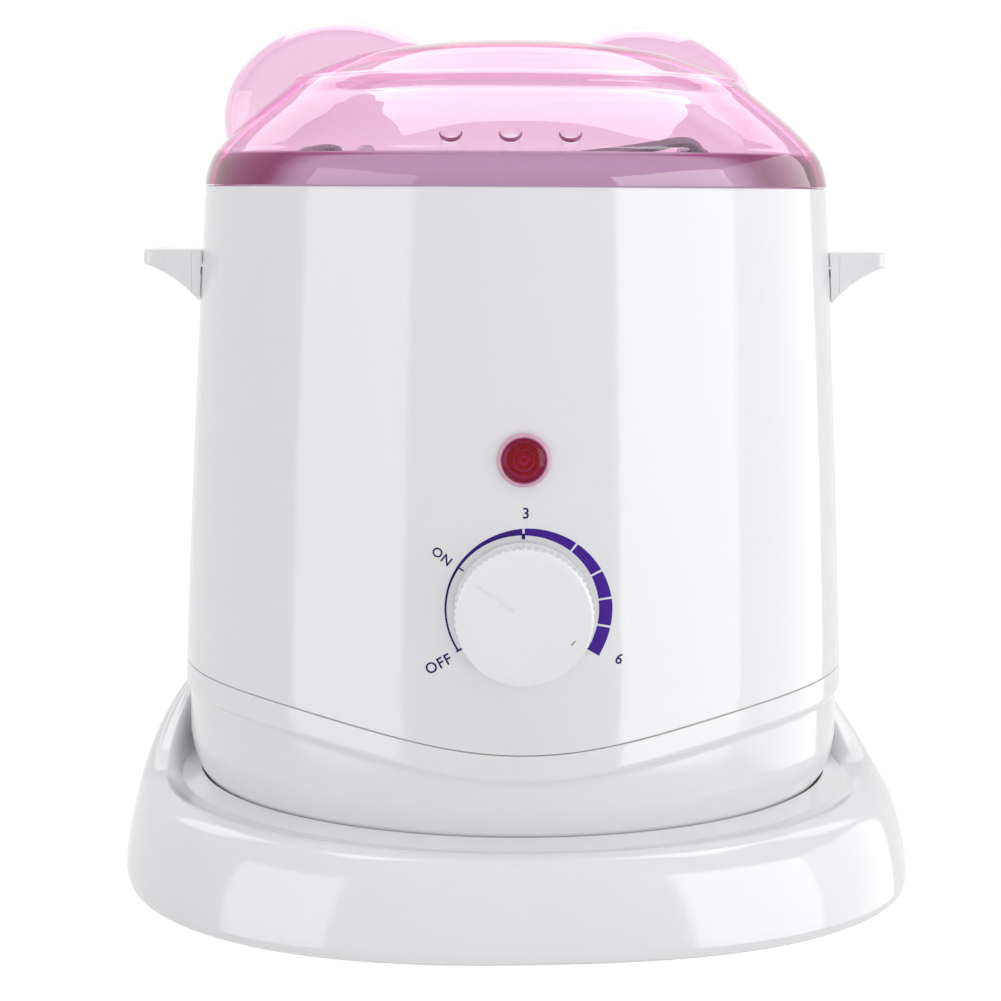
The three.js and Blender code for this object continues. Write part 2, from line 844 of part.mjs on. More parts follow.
function makePot() {
  return turned([
    [0, potFloor],
    [potInner - potCorner, potFloor],
    [potInner - 0.3 * potCorner, potFloor + 0.3 * potCorner],
    [potInner, potFloor + potCorner],
    [potInner, beadTop - 0.3 * beadHeight],
    [blend(potInner, beadOuter, 0.25), beadTop],
    [blend(potInner, beadOuter, 0.75), beadTop],
    [beadOuter, beadTop - 0.3 * beadHeight],
    [beadOuter, beadBottom + 0.3 * beadHeight],
    [blend(potInner, beadOuter, 0.75), beadBottom],
    [potOuter, beadBottom],
    [potOuter, potBottom + potCorner],
    [potOuter - 0.3 * potCorner, potBottom + 0.3 * potCorner],
    [potInner - potCorner, potBottom],
    [0, potBottom],
  ]);
}

const lugRadius = blend(potInner, beadOuter, 0.5);

// A riveted lug: a foot on the pot's bead and an upright round-topped plate with the bail's hole.
function makeLug(azimuth) {
  const rise = pivotHeight - beadTop;
  const plate = new THREE.Shape();
  plate.moveTo(-0.5 * lugWidth, 0);
  plate.lineTo(0.5 * lugWidth, 0);
  plate.lineTo(0.5 * lugWidth, rise);
  plate.absarc(0, rise, 0.5 * lugWidth, 0, Math.PI, false);
  const hole = new THREE.Path();
  hole.absarc(0, rise, wireRadius + fitGap, 0, fullTurn, true);
  plate.holes.push(hole);
  const upright = new THREE.ExtrudeGeometry(plate, {
    depth: lugThickness,
    bevelEnabled: false,
    curveSegments: lugSteps,
  });
  upright.rotateX(Math.PI / 2).translate(0, 0.5 * lugThickness, 0);
  const foot = block(lugWidth, 2.4 * lugThickness, 0.6 * lugThickness, 0, 0, 0.3 * lugThickness);
  const lug = join(upright, foot);
  const spot = polar(lugRadius, azimuth, beadTop + 0.5 * fitGap);
  return lug.rotateZ(azimuth).translate(spot.x, spot.y, spot.z);
}

// The bail runs from one lug's hole round the channel outside the bead to the other lug's hole.
function makeBail() {
  const points = [];
  const hookEnd = lugRadius - 0.5 * bailHookLength;
  const settle = 2 * wireRadius;
  points.push(polar(hookEnd, potTurn, pivotHeight));
  points.push(polar(blend(hookEnd, bailRadius, 0.5), potTurn, pivotHeight));
  points.push(polar(bailRadius - settle, potTurn, pivotHeight));
  const firstBend = settle / bailRadius;
  for (let i = 0; i <= bailSteps; i += 1) {
    const along = blend(firstBend, Math.PI - firstBend, i / bailSteps);
    points.push(polar(bailRadius, potTurn - along, pivotHeight - bailSag * Math.sin(along)));
  }
  points.push(polar(bailRadius - settle, potTurn - Math.PI, pivotHeight));
  points.push(polar(blend(hookEnd, bailRadius, 0.5), potTurn - Math.PI, pivotHeight));
  points.push(polar(hookEnd, potTurn - Math.PI, pivotHeight));
  return tube(points, wireRadius, leadSides, 2 * bailSteps);
}

// Lid

const domeOutline = domeOutlineShares.map(([radiusShare, heightShare]) => [
  lidRadius * radiusShare,
  lidLevel + lidHeight * heightShare,
]);

function domeSolid(inset) {
  const wall = inset === 0 ? domeOutline : offsetOutline(domeOutline, -inset);
  const bottom = inset === 0 ? lidLevel : lidLevel - cutOverrun;
  const rising = wall.slice(inset === 0 ? 0 : 1, -1);
  const crown = [0, domeOutline[domeOutline.length - 1][1] - inset];
  return turned([[0, bottom], [rising[0][0], bottom], ...rising.slice(inset === 0 ? 1 : 0), crown]);
}

function earSolid(side, inset) {
  const geometry = new THREE.SphereGeometry(1, earSides, earRings);
  geometry.scale(earHalfLength - inset, earHalfThickness - inset, earHalfHeight - inset);
  geometry.translate(side * earSpread, earSetback, earCentreHeight);
  return geometry.rotateZ(earTurn);
}

function makeLid() {
  const outer = join(domeSolid(0), earSolid(-1, 0), earSolid(1, 0));
  const inner = join(domeSolid(lidWall), earSolid(-1, lidWall), earSolid(1, lidWall));
  const trim = block(4 * lidRadius, 4 * lidRadius, 2 * lidRadius, 0, 0, lidLevel - lidRadius);
  const vents = [];
  for (let i = 0; i < ventCount; i += 1) {
    const x = (i - 0.5 * (ventCount - 1)) * ventPitch;
    const start = new THREE.Vector3(x, -lidRadius - cutOverrun, ventHeight);
    const end = new THREE.Vector3(x, -0.8 * lidRadius, ventHeight);
    vents.push(bar(start, end, ventRadius, holeSteps).rotateZ(ventTurn));
  }
  return cut(cut(outer, trim), inner, ...vents);
}

// Knob and thermostat

const knobBack = frontFace(dialHeight) - knobStandoff;

function shaftSolid(extra, inner, outer) {
  const round = bar(
    new THREE.Vector3(0, inner, dialHeight),
    new THREE.Vector3(0, outer, dialHeight),
    shaftRadius + extra,
    bushSteps,
  );
  const flatTop = dialHeight + shaftRadius + extra;
  const flatLength = knobDepth;
  const flatMiddle = outer + 0.5 * flatLength - cutOverrun;
  const flat = block(4 * shaftRadius, flatLength, 2 * shaftFlat, 0, flatMiddle, flatTop);
  return cut(round, flat);
}

const shaftFront = knobBack - shaftHubDepth;
const thermostatFront = frontFace(dialHeight) + housingWall + thermostatWallGap;
const thermostatBack = thermostatFront + thermostatDepth;

function makeKnob() {
  const outline = new THREE.Shape();
  for (let i = 0; i < 2 * knobFluteCount; i += 1) {
    const angle = (i / (2 * knobFluteCount)) * fullTurn;
    const radius = knobRadius - knobBevel - (i % 2) * knobFluteDepth;
    const [x, y] = [radius * Math.cos(angle), radius * Math.sin(angle)];
    if (i === 0) outline.moveTo(x, y);
    else outline.lineTo(x, y);
  }
  outline.closePath();
  const body = new THREE.ExtrudeGeometry(outline, {
    depth: knobDepth - 2 * knobBevel,
    bevelThickness: knobBevel,
    bevelSize: knobBevel,
    bevelSegments: 1,
    curveSegments: 1,
  });
  body.translate(0, 0, knobBevel);
  const recess = ring(knobHubRadius, knobRecessRadius, -cutOverrun, knobRecessDepth, bushSteps);
  const bushRoom = bushProud - knobStandoff + fitGap;
  const hubTrim = turned([
    [0, -cutOverrun], [knobRecessRadius, -cutOverrun], [knobRecessRadius, bushRoom], [0, bushRoom],
  ], bushSteps);
  const groove = block(pointerWidth, pointerLength, 2 * pointerDepth, 0, 0.5 * pointerLength, knobDepth);
  groove.rotateZ(knobRestAngle);
  const shaped = facingFront(cut(body, recess, hubTrim, groove), 0, knobBack, dialHeight);
  return cut(shaped, shaftSolid(shaftRunningGap, knobBack + cutOverrun, shaftFront - fitGap));
}

function makeShaft() {
  return shaftSolid(0, thermostatBack - 2 * housingWall, shaftFront);
}

function makeThermostat() {
  const bushFront = frontFace(dialHeight) - bushProud;
  const bushTip = thermostatBack - bushFront;
  const outline = [
    [0, 0],
    [thermostatRadius - fitGap, 0],
    [thermostatRadius, fitGap],
    [thermostatRadius, thermostatDepth],
    [bushRadius, thermostatDepth],
    [bushRadius, bushTip],
    [0, bushTip],
  ];
  const can = facingFront(turned(outline, bushSteps), 0, thermostatBack, dialHeight);
  const bore = bar(
    new THREE.Vector3(0, bushFront - cutOverrun, dialHeight),
    new THREE.Vector3(0, thermostatBack - housingWall, dialHeight),
    shaftRadius + shaftRunningGap,
    bushSteps,
  );
  return cut(can, bore);
}

function makeBushNut() {
  const back = frontFace(dialHeight) - fitGap;
  const nut = bar(
    new THREE.Vector3(0, back, dialHeight),
    new THREE.Vector3(0, back - bushNutThickness, dialHeight),
    bushNutRadius,
    nutSides,
  );
  const bore = bar(
    new THREE.Vector3(0, back + cutOverrun, dialHeight),
    new THREE.Vector3(0, back - bushNutThickness - cutOverrun, dialHeight),
    bushRadius + fitGap,
    bushSteps,
  );
  return cut(nut, bore);
}

const bulbHeight = clampPlateBottom - bulbRadius - fitGap - clipThickness;
const bulbPlace = -0.45 * studCircle;

// The capillary leaves the back of the thermostat and ends in the bulb below the clamp plate.
function makeSensor() {
  const outlet = [0.4 * thermostatRadius, thermostatBack + fitGap, dialHeight + 0.3 * thermostatRadius];
  const start = new THREE.Vector3(...outlet);
  const bulbEnd = new THREE.Vector3(0.5 * bulbLength, bulbPlace, bulbHeight);
  const line = tube([
    start,
    start.clone().add(new THREE.Vector3(0, 4 * bulbRadius, 0)),
    bulbEnd.clone().add(new THREE.Vector3(3 * bulbRadius, -2 * bulbRadius, -bulbRadius)),
    bulbEnd.clone().add(new THREE.Vector3(2 * bulbRadius, 0, 0)),
    bulbEnd.clone().add(new THREE.Vector3(-bulbRadius, 0, 0)),
  ], capillaryRadius);
  const bulb = bar(bulbEnd, bulbEnd.clone().setX(-0.5 * bulbLength), bulbRadius);
  return join(bulb, line);
}

// A saddle clip: a strip bent over a round part below the clamp plate, with two flat feet.
function makeSaddle(radius, x, y) {
  const outer = radius + fitGap + clipThickness;
  const top = clampPlateBottom - 0.5 * fitGap;
  const centre = clampPlateBottom - radius - fitGap - clipThickness;
  const saddle = new THREE.Shape();
  const inner = radius + fitGap;
  saddle.moveTo(-2.2 * outer, top - centre);
  saddle.lineTo(-2.2 * outer, top - centre - clipThickness);
  saddle.lineTo(-outer, top - centre - clipThickness);
  saddle.absarc(0, 0, outer, Math.PI, fullTurn, false);
  saddle.lineTo(outer, top - centre - clipThickness);
  saddle.lineTo(2.2 * outer, top - centre - clipThickness);
  saddle.lineTo(2.2 * outer, top - centre);
  saddle.lineTo(inner, top - centre);
  saddle.absarc(0, 0, inner, fullTurn, Math.PI, true);
  saddle.lineTo(-inner, top - centre);
  saddle.closePath();
  const geometry = new THREE.ExtrudeGeometry(saddle, {
    depth: clipWidth,
    bevelEnabled: false,
    curveSegments: screwSteps,
  });
  return geometry.rotateX(Math.PI / 2).rotateZ(0.25 * fullTurn).translate(x - 0.5 * clipWidth, y, centre);
}

function makeFuse() {
  const height = clampPlateBottom - fuseRadius - fitGap - clipThickness;
  const near = new THREE.Vector3(-0.5 * fuseLength, fuseOffset, height);
  const far = new THREE.Vector3(0.5 * fuseLength, fuseOffset, height);
  return bar(near, far, fuseRadius);
}

// Pilot lamp: each piece is turned about +Z with its front at the top, then stood facing front.

const lampSeat = frontFace(lampHeight);

function makeBezel() {
  const outline = [
    [bezelBore, -bezelNeckLength], [bezelNeckRadius, -bezelNeckLength], [bezelNeckRadius, fitGap],
    [bezelRadius, fitGap], [bezelRadius, 0.6 * bezelProud], [bezelRadius - 0.4 * bezelProud, bezelProud],
    [lensRadius + 0.5 * fitGap, bezelProud], [lensRadius + 0.5 * fitGap, 0.3 * bezelProud],
    [bezelBore, 0.3 * bezelProud],
  ];
  return facingFront(turnedLoop(outline, lensFacets), 0, lampSeat, lampHeight);
}

function makeLens() {
  const seat = 0.3 * bezelProud + 0.5 * fitGap;
  const stemRadius = bezelBore - 0.5 * fitGap;
  const outline = [
    [0, seat - lensStem], [stemRadius, seat - lensStem], [stemRadius, seat], [lensRadius, seat],
    [lensRadius, 0.6 * lensProud], [0.8 * lensRadius, 0.86 * lensProud], [0.45 * lensRadius, lensProud],
    [0, lensProud],
  ];
  return facingFront(turned(outline, lensFacets), 0, lampSeat, lampHeight);
}

function makeNeon() {
  const front = 0.3 * bezelProud - lensStem - fitGap;
  const outline = [
    [0, front - neonLength], [neonRadius, front - neonLength], [neonRadius, front - 0.4 * neonRadius],
    [0.6 * neonRadius, front], [0, front],
  ];
  return facingFront(turned(outline, smallSteps), 0, lampSeat, lampHeight);
}

function makeLampNut() {
  const inner = lampSeat + housingWall + nutWallGap;
  const nut = bar(
    new THREE.Vector3(0, inner, lampHeight),
    new THREE.Vector3(0, inner + lampNutThickness, lampHeight),
    lampNutRadius,
    nutSides,
  );
  const bore = bar(
    new THREE.Vector3(0, inner - cutOverrun, lampHeight),
    new THREE.Vector3(0, inner + lampNutThickness + cutOverrun, lampHeight),
    bezelNeckRadius + fitGap,
    bushSteps,
  );
  return cut(nut, bore);
}

// Cord gland, terminal block and leads

const glandSeat = housingRadius(glandHeight);

function makeGland() {
  const outline = [
    [glandBore, -glandNeckLength], [glandNeckRadius, -glandNeckLength], [glandNeckRadius, fitGap],
    [glandFlangeRadius, fitGap], [glandFlangeRadius, 0.6 * glandFlangeThickness],
    [0.8 * glandFlangeRadius, glandFlangeThickness], [glandBore, glandFlangeThickness],
  ];
  return turnedLoop(outline, bushSteps).rotateX(-Math.PI / 2).translate(0, glandSeat, glandHeight);
}

function makeGlandNut() {
  const inner = glandSeat - housingWall - nutWallGap;
  const nut = bar(
    new THREE.Vector3(0, inner, glandHeight),
    new THREE.Vector3(0, inner - glandNutThickness, glandHeight),
    glandNutRadius,
    nutSides,
  );
  const bore = bar(
    new THREE.Vector3(0, inner + cutOverrun, glandHeight),
    new THREE.Vector3(0, inner - glandNutThickness - cutOverrun, glandHeight),
    glandNeckRadius + fitGap,
    bushSteps,
  );
  return cut(nut, bore);
}

const terminalBottom = bowlFloorTop + fitGap;
const terminalPitch = terminalLength / terminalCount;

function terminalSpot(i) {
  return terminalPlace[0] + (i - 0.5 * (terminalCount - 1)) * terminalPitch;
}

function makeTerminalBlock() {
  const [x, y] = terminalPlace;
  const height = terminalBottom + 0.5 * terminalTall;
  const body = block(terminalLength, terminalDepth, terminalTall, x, y, height);
  const holes = [];
  for (let i = 0; i < terminalCount; i += 1) {
    const spot = terminalSpot(i);
    holes.push(bar(
      new THREE.Vector3(spot, y - terminalDepth, height),
      new THREE.Vector3(spot, y + terminalDepth, height),
      terminalRoundRadius,
      leadSides,
    ));
  }
  return cut(body, ...holes);
}

// A lead from one way of the terminal block to a place, by the points between.
function makeLead(way, side, ...places) {
  const height = terminalBottom + 0.5 * terminalTall;
  const face = terminalPlace[1] + side * 0.5 * terminalDepth;
  const x = terminalSpot(way);
  const start = new THREE.Vector3(x, face - side * 0.2 * terminalDepth, height);
  const clear = new THREE.Vector3(x, face + side * 0.3 * terminalDepth, height);
  return tube([start, clear, ...places.map((place) => new THREE.Vector3(...place))], leadRadius);
}

// Assembly

const waxHeater = new THREE.Group();
const stand = new THREE.Group();
const housing = new THREE.Group();
const heating = new THREE.Group();
const controls = new THREE.Group();
const pot = new THREE.Group();
const cover = new THREE.Group();
waxHeater.add(stand, housing, heating, controls, pot, cover);

function addPart(group, name, geometry, material) {
  const mesh = new THREE.Mesh(geometry, material);
  mesh.name = name;
  group.add(mesh);
  return mesh;
}

addPart(stand, 'base_stand', makeStand(), whitePlastic());
addPart(stand, 'bottom_cover', makeBottomCover(), greyPlastic());
for (let i = 0; i < coverScrewCount; i += 1) {
  const footPlace = polar(footCircle, coverScrewAzimuth(i) + footSplay, 0);
  addPart(stand, `foot_${i + 1}`, makeFoot(), blackRubber()).position.copy(footPlace);
  const screwBottom = coverLevel - 0.5 * fitGap - screwHeadHeight;
  const screwPlace = polar(coverScrewCircle, coverScrewAzimuth(i), screwBottom);
  const coverScrew = crossSlotted(
    screw(screwRadius, screwHeadRadius, screwHeadHeight, coverScrewLength),
    screwHeadRadius,
  );
  addPart(stand, `cover_screw_${i + 1}`, coverScrew, steel()).position.copy(screwPlace);
}
for (let i = 0; i < tieRodCount; i += 1) {
  addPart(stand, `stand_screw_${i + 1}`, makeStandScrew(i), steel());
}

addPart(housing, 'lower_housing', makeLowerHousing(), whitePlastic());
addPart(housing, 'upper_housing', makeUpperHousing(), whitePlastic());
addPart(housing, 'top_collar', makeCollar(), whitePlastic());
addPart(housing, 'left_handle', makeHandle(-1), whitePlastic());
addPart(housing, 'right_handle', makeHandle(1), whitePlastic());
for (const [sideName, side] of [['left', -1], ['right', 1]]) {
  for (const [endName, end] of [['front', -1], ['rear', 1]]) {
    addPart(housing, `${sideName}_handle_screw_${endName}`, makeHandleScrew(side, end), steel());
  }
}

const flangeOuter = funnelRadius - chamberFlangeInset;
const sealBottom = ledgeHeight + 0.5 * fitGap;
const sealGeometry = ring(ledgeRadius + fitGap, flangeOuter, sealBottom, sealBottom + sealThickness);
const bandBottom = chamberFloor + bandLift;
const bandInner = chamberOuter + fitGap;
const sleeveInner = bandInner + bandThickness + fitGap;
const sleeveBottom = bandBottom - 0.5 * (sleeveHeight - bandHeight);
const heaterPlateTop = chamberBottom - fitGap;
addPart(heating, 'chamber_seal', sealGeometry, finish(0xd98a6a, 0.7));
addPart(heating, 'heating_chamber', makeChamber(), aluminium());
addPart(
  heating,
  'heater_band',
  ring(bandInner, bandInner + bandThickness, bandBottom, bandBottom + bandHeight),
  finish(0xa58f63, 0.5),
);
addPart(
  heating,
  'insulation_sleeve',
  ring(sleeveInner, sleeveInner + sleeveThickness, sleeveBottom, sleeveBottom + sleeveHeight),
  finish(0xe6e2d6, 0.95),
);
addPart(
  heating,
  'heater_plate',
  ring(heaterPlateBore, heaterPlateRadius, heaterPlateTop - heaterPlateThickness, heaterPlateTop),
  finish(0x77726c, 0.6),
);
addPart(heating, 'clamp_plate', makeClampPlate(), steel());
for (let i = 0; i < tieRodCount; i += 1) {
  addPart(heating, `tie_rod_${i + 1}`, makeTieRod(i), steel());
}

addPart(controls, 'control_knob', makeKnob(), whitePlastic());
addPart(controls, 'thermostat_shaft', makeShaft(), steel());
addPart(controls, 'thermostat_body', makeThermostat(), finish(0xd9d4c7, 0.6));
addPart(controls, 'bush_nut', makeBushNut(), finish(0xc8a44a, 0.35, 1));
addPart(controls, 'sensor_bulb', makeSensor(), finish(0xb87346, 0.35, 1));
addPart(controls, 'sensor_clip', makeSaddle(bulbRadius, 0, bulbPlace), steel());
addPart(controls, 'thermal_fuse', makeFuse(), finish(0xcfcac0, 0.4));
addPart(controls, 'fuse_clip', makeSaddle(fuseRadius, 0, fuseOffset), steel());
addPart(controls, 'lamp_bezel', makeBezel(), finish(0xe79bb0, 0.2));
addPart(controls, 'lamp_lens', makeLens(), finish(0x9c0f35, 0.12));
addPart(controls, 'neon_lamp', makeNeon(), finish(0xf2c9a0, 0.1));
addPart(controls, 'lamp_nut', makeLampNut(), greyPlastic());
addPart(controls, 'cord_gland', makeGland(), finish(0xe9e9ea, 0.4));
addPart(controls, 'gland_nut', makeGlandNut(), greyPlastic());
addPart(controls, 'terminal_block', makeTerminalBlock(), finish(0xdedbd2, 0.5));

const leadEnd = glandSeat - glandNeckLength - 2 * leadRadius;
const upLow = dialHeight - thermostatRadius;
addPart(
  controls,
  'live_lead',
  makeLead(1, 1, [4 * leadRadius, leadEnd, upLow], [1.2 * leadRadius, leadEnd, glandHeight]),
  finish(0x7a4a2b, 0.5),
);
addPart(
  controls,
  'neutral_lead',
  makeLead(0, 1, [0, leadEnd, upLow], [-1.2 * leadRadius, leadEnd, glandHeight - leadRadius]),
  finish(0x2d5fa8, 0.5),
);
const thermostatRear = thermostatBack + 2 * leadRadius;
addPart(
  controls,
  'thermostat_lead',
  makeLead(2, -1, [terminalSpot(2), 0, 0.5 * dialHeight], [0, thermostatRear, dialHeight - 4 * leadRadius]),
  finish(0x303236, 0.5),
);
const lampRear = lampSeat + bezelNeckLength + 2 * leadRadius;
addPart(
  controls,
  'lamp_lead',
  makeLead(
    3,
    -1,
    [terminalSpot(3), 0, 0.4 * dialHeight],
    [2 * thermostatRadius, thermostatBack, dialHeight],
    [thermostatRadius, lampRear, 0.5 * (dialHeight + lampHeight)],
    [0, lampRear, lampHeight],
  ),
  finish(0xb02a2a, 0.5),
);

addPart(pot, 'inner_pot', makePot(), aluminium());
addPart(pot, 'pot_lug_front', makeLug(potTurn), aluminium());
addPart(pot, 'pot_lug_rear', makeLug(potTurn + Math.PI), aluminium());
addPart(pot, 'bail', makeBail(), steel());

addPart(cover, 'lid', makeLid(), pinkClear());

export default waxHeater;
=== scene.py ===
"""Looks of the wax heater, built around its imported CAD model.

Sizes are written in millimetres and turned into metres where a mesh is made. +Z is up, the
front faces -Y, and azimuths run from the front towards +X.
"""
from math import atan, atan2, cos, degrees, exp, pi, radians, sin, sqrt

import bmesh
import bpy
from mathutils import Matrix, Vector
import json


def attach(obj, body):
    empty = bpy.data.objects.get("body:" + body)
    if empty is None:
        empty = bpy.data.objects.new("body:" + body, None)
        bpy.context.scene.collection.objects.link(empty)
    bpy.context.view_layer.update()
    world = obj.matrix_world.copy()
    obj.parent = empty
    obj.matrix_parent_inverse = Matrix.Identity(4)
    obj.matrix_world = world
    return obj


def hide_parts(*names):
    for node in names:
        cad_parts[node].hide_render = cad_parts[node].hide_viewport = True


MM = 0.001
TURN = 2 * pi
STEPS = 180
SMOOTH_ANGLE = 38.0

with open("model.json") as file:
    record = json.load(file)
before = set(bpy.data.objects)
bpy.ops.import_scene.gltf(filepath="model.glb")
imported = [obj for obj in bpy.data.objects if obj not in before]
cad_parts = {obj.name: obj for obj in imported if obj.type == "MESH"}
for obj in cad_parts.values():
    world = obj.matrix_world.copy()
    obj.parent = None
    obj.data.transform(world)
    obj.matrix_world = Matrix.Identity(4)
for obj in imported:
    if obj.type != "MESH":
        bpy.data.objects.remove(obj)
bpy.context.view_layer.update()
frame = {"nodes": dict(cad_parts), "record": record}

# Sizes, in millimetres, that are shared with the CAD model

GAP = 0.3
RIM_Z, RIM_R = 169.5, 76.8
WAIST_Z, WAIST_R = 44.0, 83.1
BULGE = 0.45
WALL = 2.6
SEAM_SIDE_Z, SEAM_DIP, SEAM_SPREAD = 52.3, 8.5, radians(30)
CREASE_DROP, CREASE_STEP = 5.6, 1.2
BOWL_FLOOR_Z, BOWL_RIM_Z = 13.8, 34.0
BOWL_SHARES = [(0.757, 0), (0.83, 0.09), (0.891, 0.235), (0.934, 0.38), (0.965, 0.53),
               (0.988, 0.73), (1, 1)]
DIAL_Z = 76.5
LAMP_Z = 109.7
LID_R, LID_Z, LID_H, LID_WALL = 77.0, 169.65, 35.2, 2.2
VENT_Z, VENT_STEP, VENT_R, VENT_TURN = 181.1, 13.2, 2.2, radians(2.5)


def blend(a, b, share):
    return a + (b - a) * share


def smooth(a, b, x):
    share = min(max((x - a) / (b - a), 0.0), 1.0)
    return share * share * (3 - 2 * share)


def housing_radius(z):
    share = (z - WAIST_Z) / (RIM_Z - WAIST_Z)
    return blend(WAIST_R, RIM_R, share) + BULGE * 4 * share * (1 - share)


def off_front(azimuth):
    """The turn away from the front, at most half a turn."""
    return abs(atan2(sin(azimuth), cos(azimuth)))


def seam_height(azimuth):
    return SEAM_SIDE_Z - SEAM_DIP * exp(-((off_front(azimuth) / SEAM_SPREAD) ** 2))


def polar(radius, azimuth, z):
    return Vector((radius * sin(azimuth), -radius * cos(azimuth), z))


def shift(at):
    return Matrix.Translation(Vector(at) * MM)


# Mesh helpers

def curve_through(points, steps):
    """A smooth open curve (Catmull-Rom) through 2-D points."""
    out = []
    count = len(points)
    for i in range(count - 1):
        p0 = points[max(i - 1, 0)]
        p1, p2 = points[i], points[i + 1]
        p3 = points[min(i + 2, count - 1)]
        for j in range(steps):
            t = j / steps
            out.append(tuple(
                0.5 * (2 * b + (c - a) * t + (2 * a - 5 * b + 4 * c - d) * t * t
                       + (3 * b - a - 3 * c + d) * t ** 3)
                for a, b, c, d in zip(p0, p1, p2, p3)))
    out.append(tuple(points[-1]))
    return out


def rounded(points, radii, arc=4):
    """Rounds the corners of an outline; radii gives each corner's radius, 0 for a kept corner."""
    out = []
    for i, (point, radius) in enumerate(zip(points, radii)):
        if radius <= 0:
            out.append(tuple(point))
            continue
        here = Vector(point)
        before, after = Vector(points[i - 1]), Vector(points[(i + 1) % len(points)])
        u, v = before - here, after - here
        reach = min(radius, 0.48 * u.length, 0.48 * v.length)
        a = here + u.normalized() * reach
        b = here + v.normalized() * reach
        for j in range(arc + 1):
            t = j / arc
            out.append(tuple((1 - t) ** 2 * a + 2 * t * (1 - t) * here + t * t * b))
    return out


def offset(outline, distance):
    """Moves an open outline by a distance to the right of its direction."""
    out = []
    for i, (radius, z) in enumerate(outline):
        before, after = outline[max(i - 1, 0)], outline[min(i + 1, len(outline) - 1)]
        along = Vector((after[0] - before[0], after[1] - before[1])).normalized()
        out.append((max(radius + distance * along.y, 0.0), z - distance * along.x))
    return out


def link_object(name, data):
    obj = bpy.data.objects.new(name, data)
    bpy.context.scene.collection.objects.link(obj)
    return obj


def shade(mesh, smooth_angle=SMOOTH_ANGLE):
    """Smooth faces, with sharp edges past an angle."""
    mesh.polygons.foreach_set("use_smooth", [True] * len(mesh.polygons))
    mesh.set_sharp_from_angle(angle=radians(smooth_angle))


def make_object(name, points, faces, smooth_angle=SMOOTH_ANGLE):
    """A mesh object from points in millimetres, closed up, facing out and smooth-shaded."""
    mesh = bpy.data.meshes.new(name)
    bm = bmesh.new()
    verts = [bm.verts.new(Vector(p) * MM) for p in points]
    for face in faces:
        corners = [verts[i] for i in face]
        if len(set(corners)) == len(corners):
            bm.faces.new(corners)
    bmesh.ops.remove_doubles(bm, verts=bm.verts, dist=2e-6)
    bmesh.ops.dissolve_degenerate(bm, edges=bm.edges, dist=1e-7)
    bmesh.ops.recalc_face_normals(bm, faces=bm.faces)
    bm.to_mesh(mesh)
    bm.free()
    shade(mesh, smooth_angle)
    return link_object(name, mesh)


def loft(name, rows, closed_rows, closed_cols, smooth_angle=SMOOTH_ANGLE, caps=()):
    """Skins rows of 3-D points; a closed way joins its last to its first, and caps fill rows."""
    count = len(rows[0])
    points = [p for row in rows for p in row]
    faces = []
    for i in range(len(rows) if closed_rows else len(rows) - 1):
        k = (i + 1) % len(rows)
        for j in range(count if closed_cols else count - 1):
            n = (j + 1) % count
            faces.append((i * count + j, i * count + n, k * count + n, k * count + j))
    faces += [tuple(range(i * count, (i + 1) * count)) for i in caps]
    return make_object(name, points, faces, smooth_angle)


def turned(name, outline, steps=STEPS):
    """Turns an outline of (radius, z) points; one that starts and ends on the axis isn't closed."""
    on_axis = outline[0][0] < 1e-6 and outline[-1][0] < 1e-6
    rows = [[polar(r, i / steps * TURN, z) for r, z in outline] for i in range(steps)]
    return loft(name, rows, True, not on_axis)


def lofted(name, line, steps, closed_cols=True):
    """Lofts a section of (radius, z) points that changes with the azimuth."""
    rows = [[polar(r, i / steps * TURN, z) for r, z in line(i / steps * TURN)] for i in range(steps)]
    return loft(name, rows, True, closed_cols)


def skin(name, rows, smooth_angle=SMOOTH_ANGLE):
    """Skins closed sections and closes the two ends with flat faces."""
    return loft(name, rows, False, True, smooth_angle, (0, len(rows) - 1))


UP = Vector((0, 0, 1))


def square_to(along, near):
    """The unit vector square to a direction and nearest to another."""
    return (near - along * near.dot(along)).normalized()


def tube(name, path, radius, sides, taper):
    """A round tube along 3-D points, its ends rounded over by the length of taper."""
    rows = []
    normal = UP
    for i, point in enumerate(path):
        along = (path[min(i + 1, len(path) - 1)] - path[max(i - 1, 0)]).normalized()
        normal = square_to(along, normal)
        side = along.cross(normal)
        rows.append([point + radius * (cos(a) * normal + sin(a) * side)
                     for a in (k / sides * TURN for k in range(sides))])
    for end, inner in ((0, 1), (-1, -2)):
        along = (path[end] - path[inner]).normalized()
        caps = []
        for share, push in ((0.92, 0.4), (0.7, 0.72), (0.35, 0.95)):
            caps.append([path[end] + along * push * taper + (p - path[end]) * share for p in rows[end]])
        rows = caps[::-1] + rows if end == 0 else rows + caps
    return skin(name, rows)


def front_turned(name, outline, y, z, steps):
    """Turns an outline of (radius, forward) points about an axis that points to the front."""
    on_axis = outline[0][0] < 1e-6 and outline[-1][0] < 1e-6
    rows = []
    for i in range(steps):
        a = i / steps * TURN
        rows.append([Vector((r * sin(a), y - f, z + r * cos(a))) for r, f in outline])
    return loft(name, rows, True, not on_axis)


def evaluated_mesh(obj):
    """A new mesh of an object as it shows, with its modifiers applied."""
    graph = bpy.context.evaluated_depsgraph_get()
    return bpy.data.meshes.new_from_object(obj.evaluated_get(graph))


def boolean(obj, operation, *tools, smooth_angle=SMOOTH_ANGLE):
    """Joins or cuts solids; the tools are used up."""
    for tool in tools:
        step = obj.modifiers.new("step", "BOOLEAN")
        step.operation = operation
        step.solver = "MANIFOLD"
        step.object = tool
    mesh = evaluated_mesh(obj)
    old = obj.data
    obj.modifiers.clear()
    obj.data = mesh
    bpy.data.meshes.remove(old)
    for tool in tools:
        bpy.data.objects.remove(tool, do_unlink=True)
    shade(mesh, smooth_angle)


# Materials

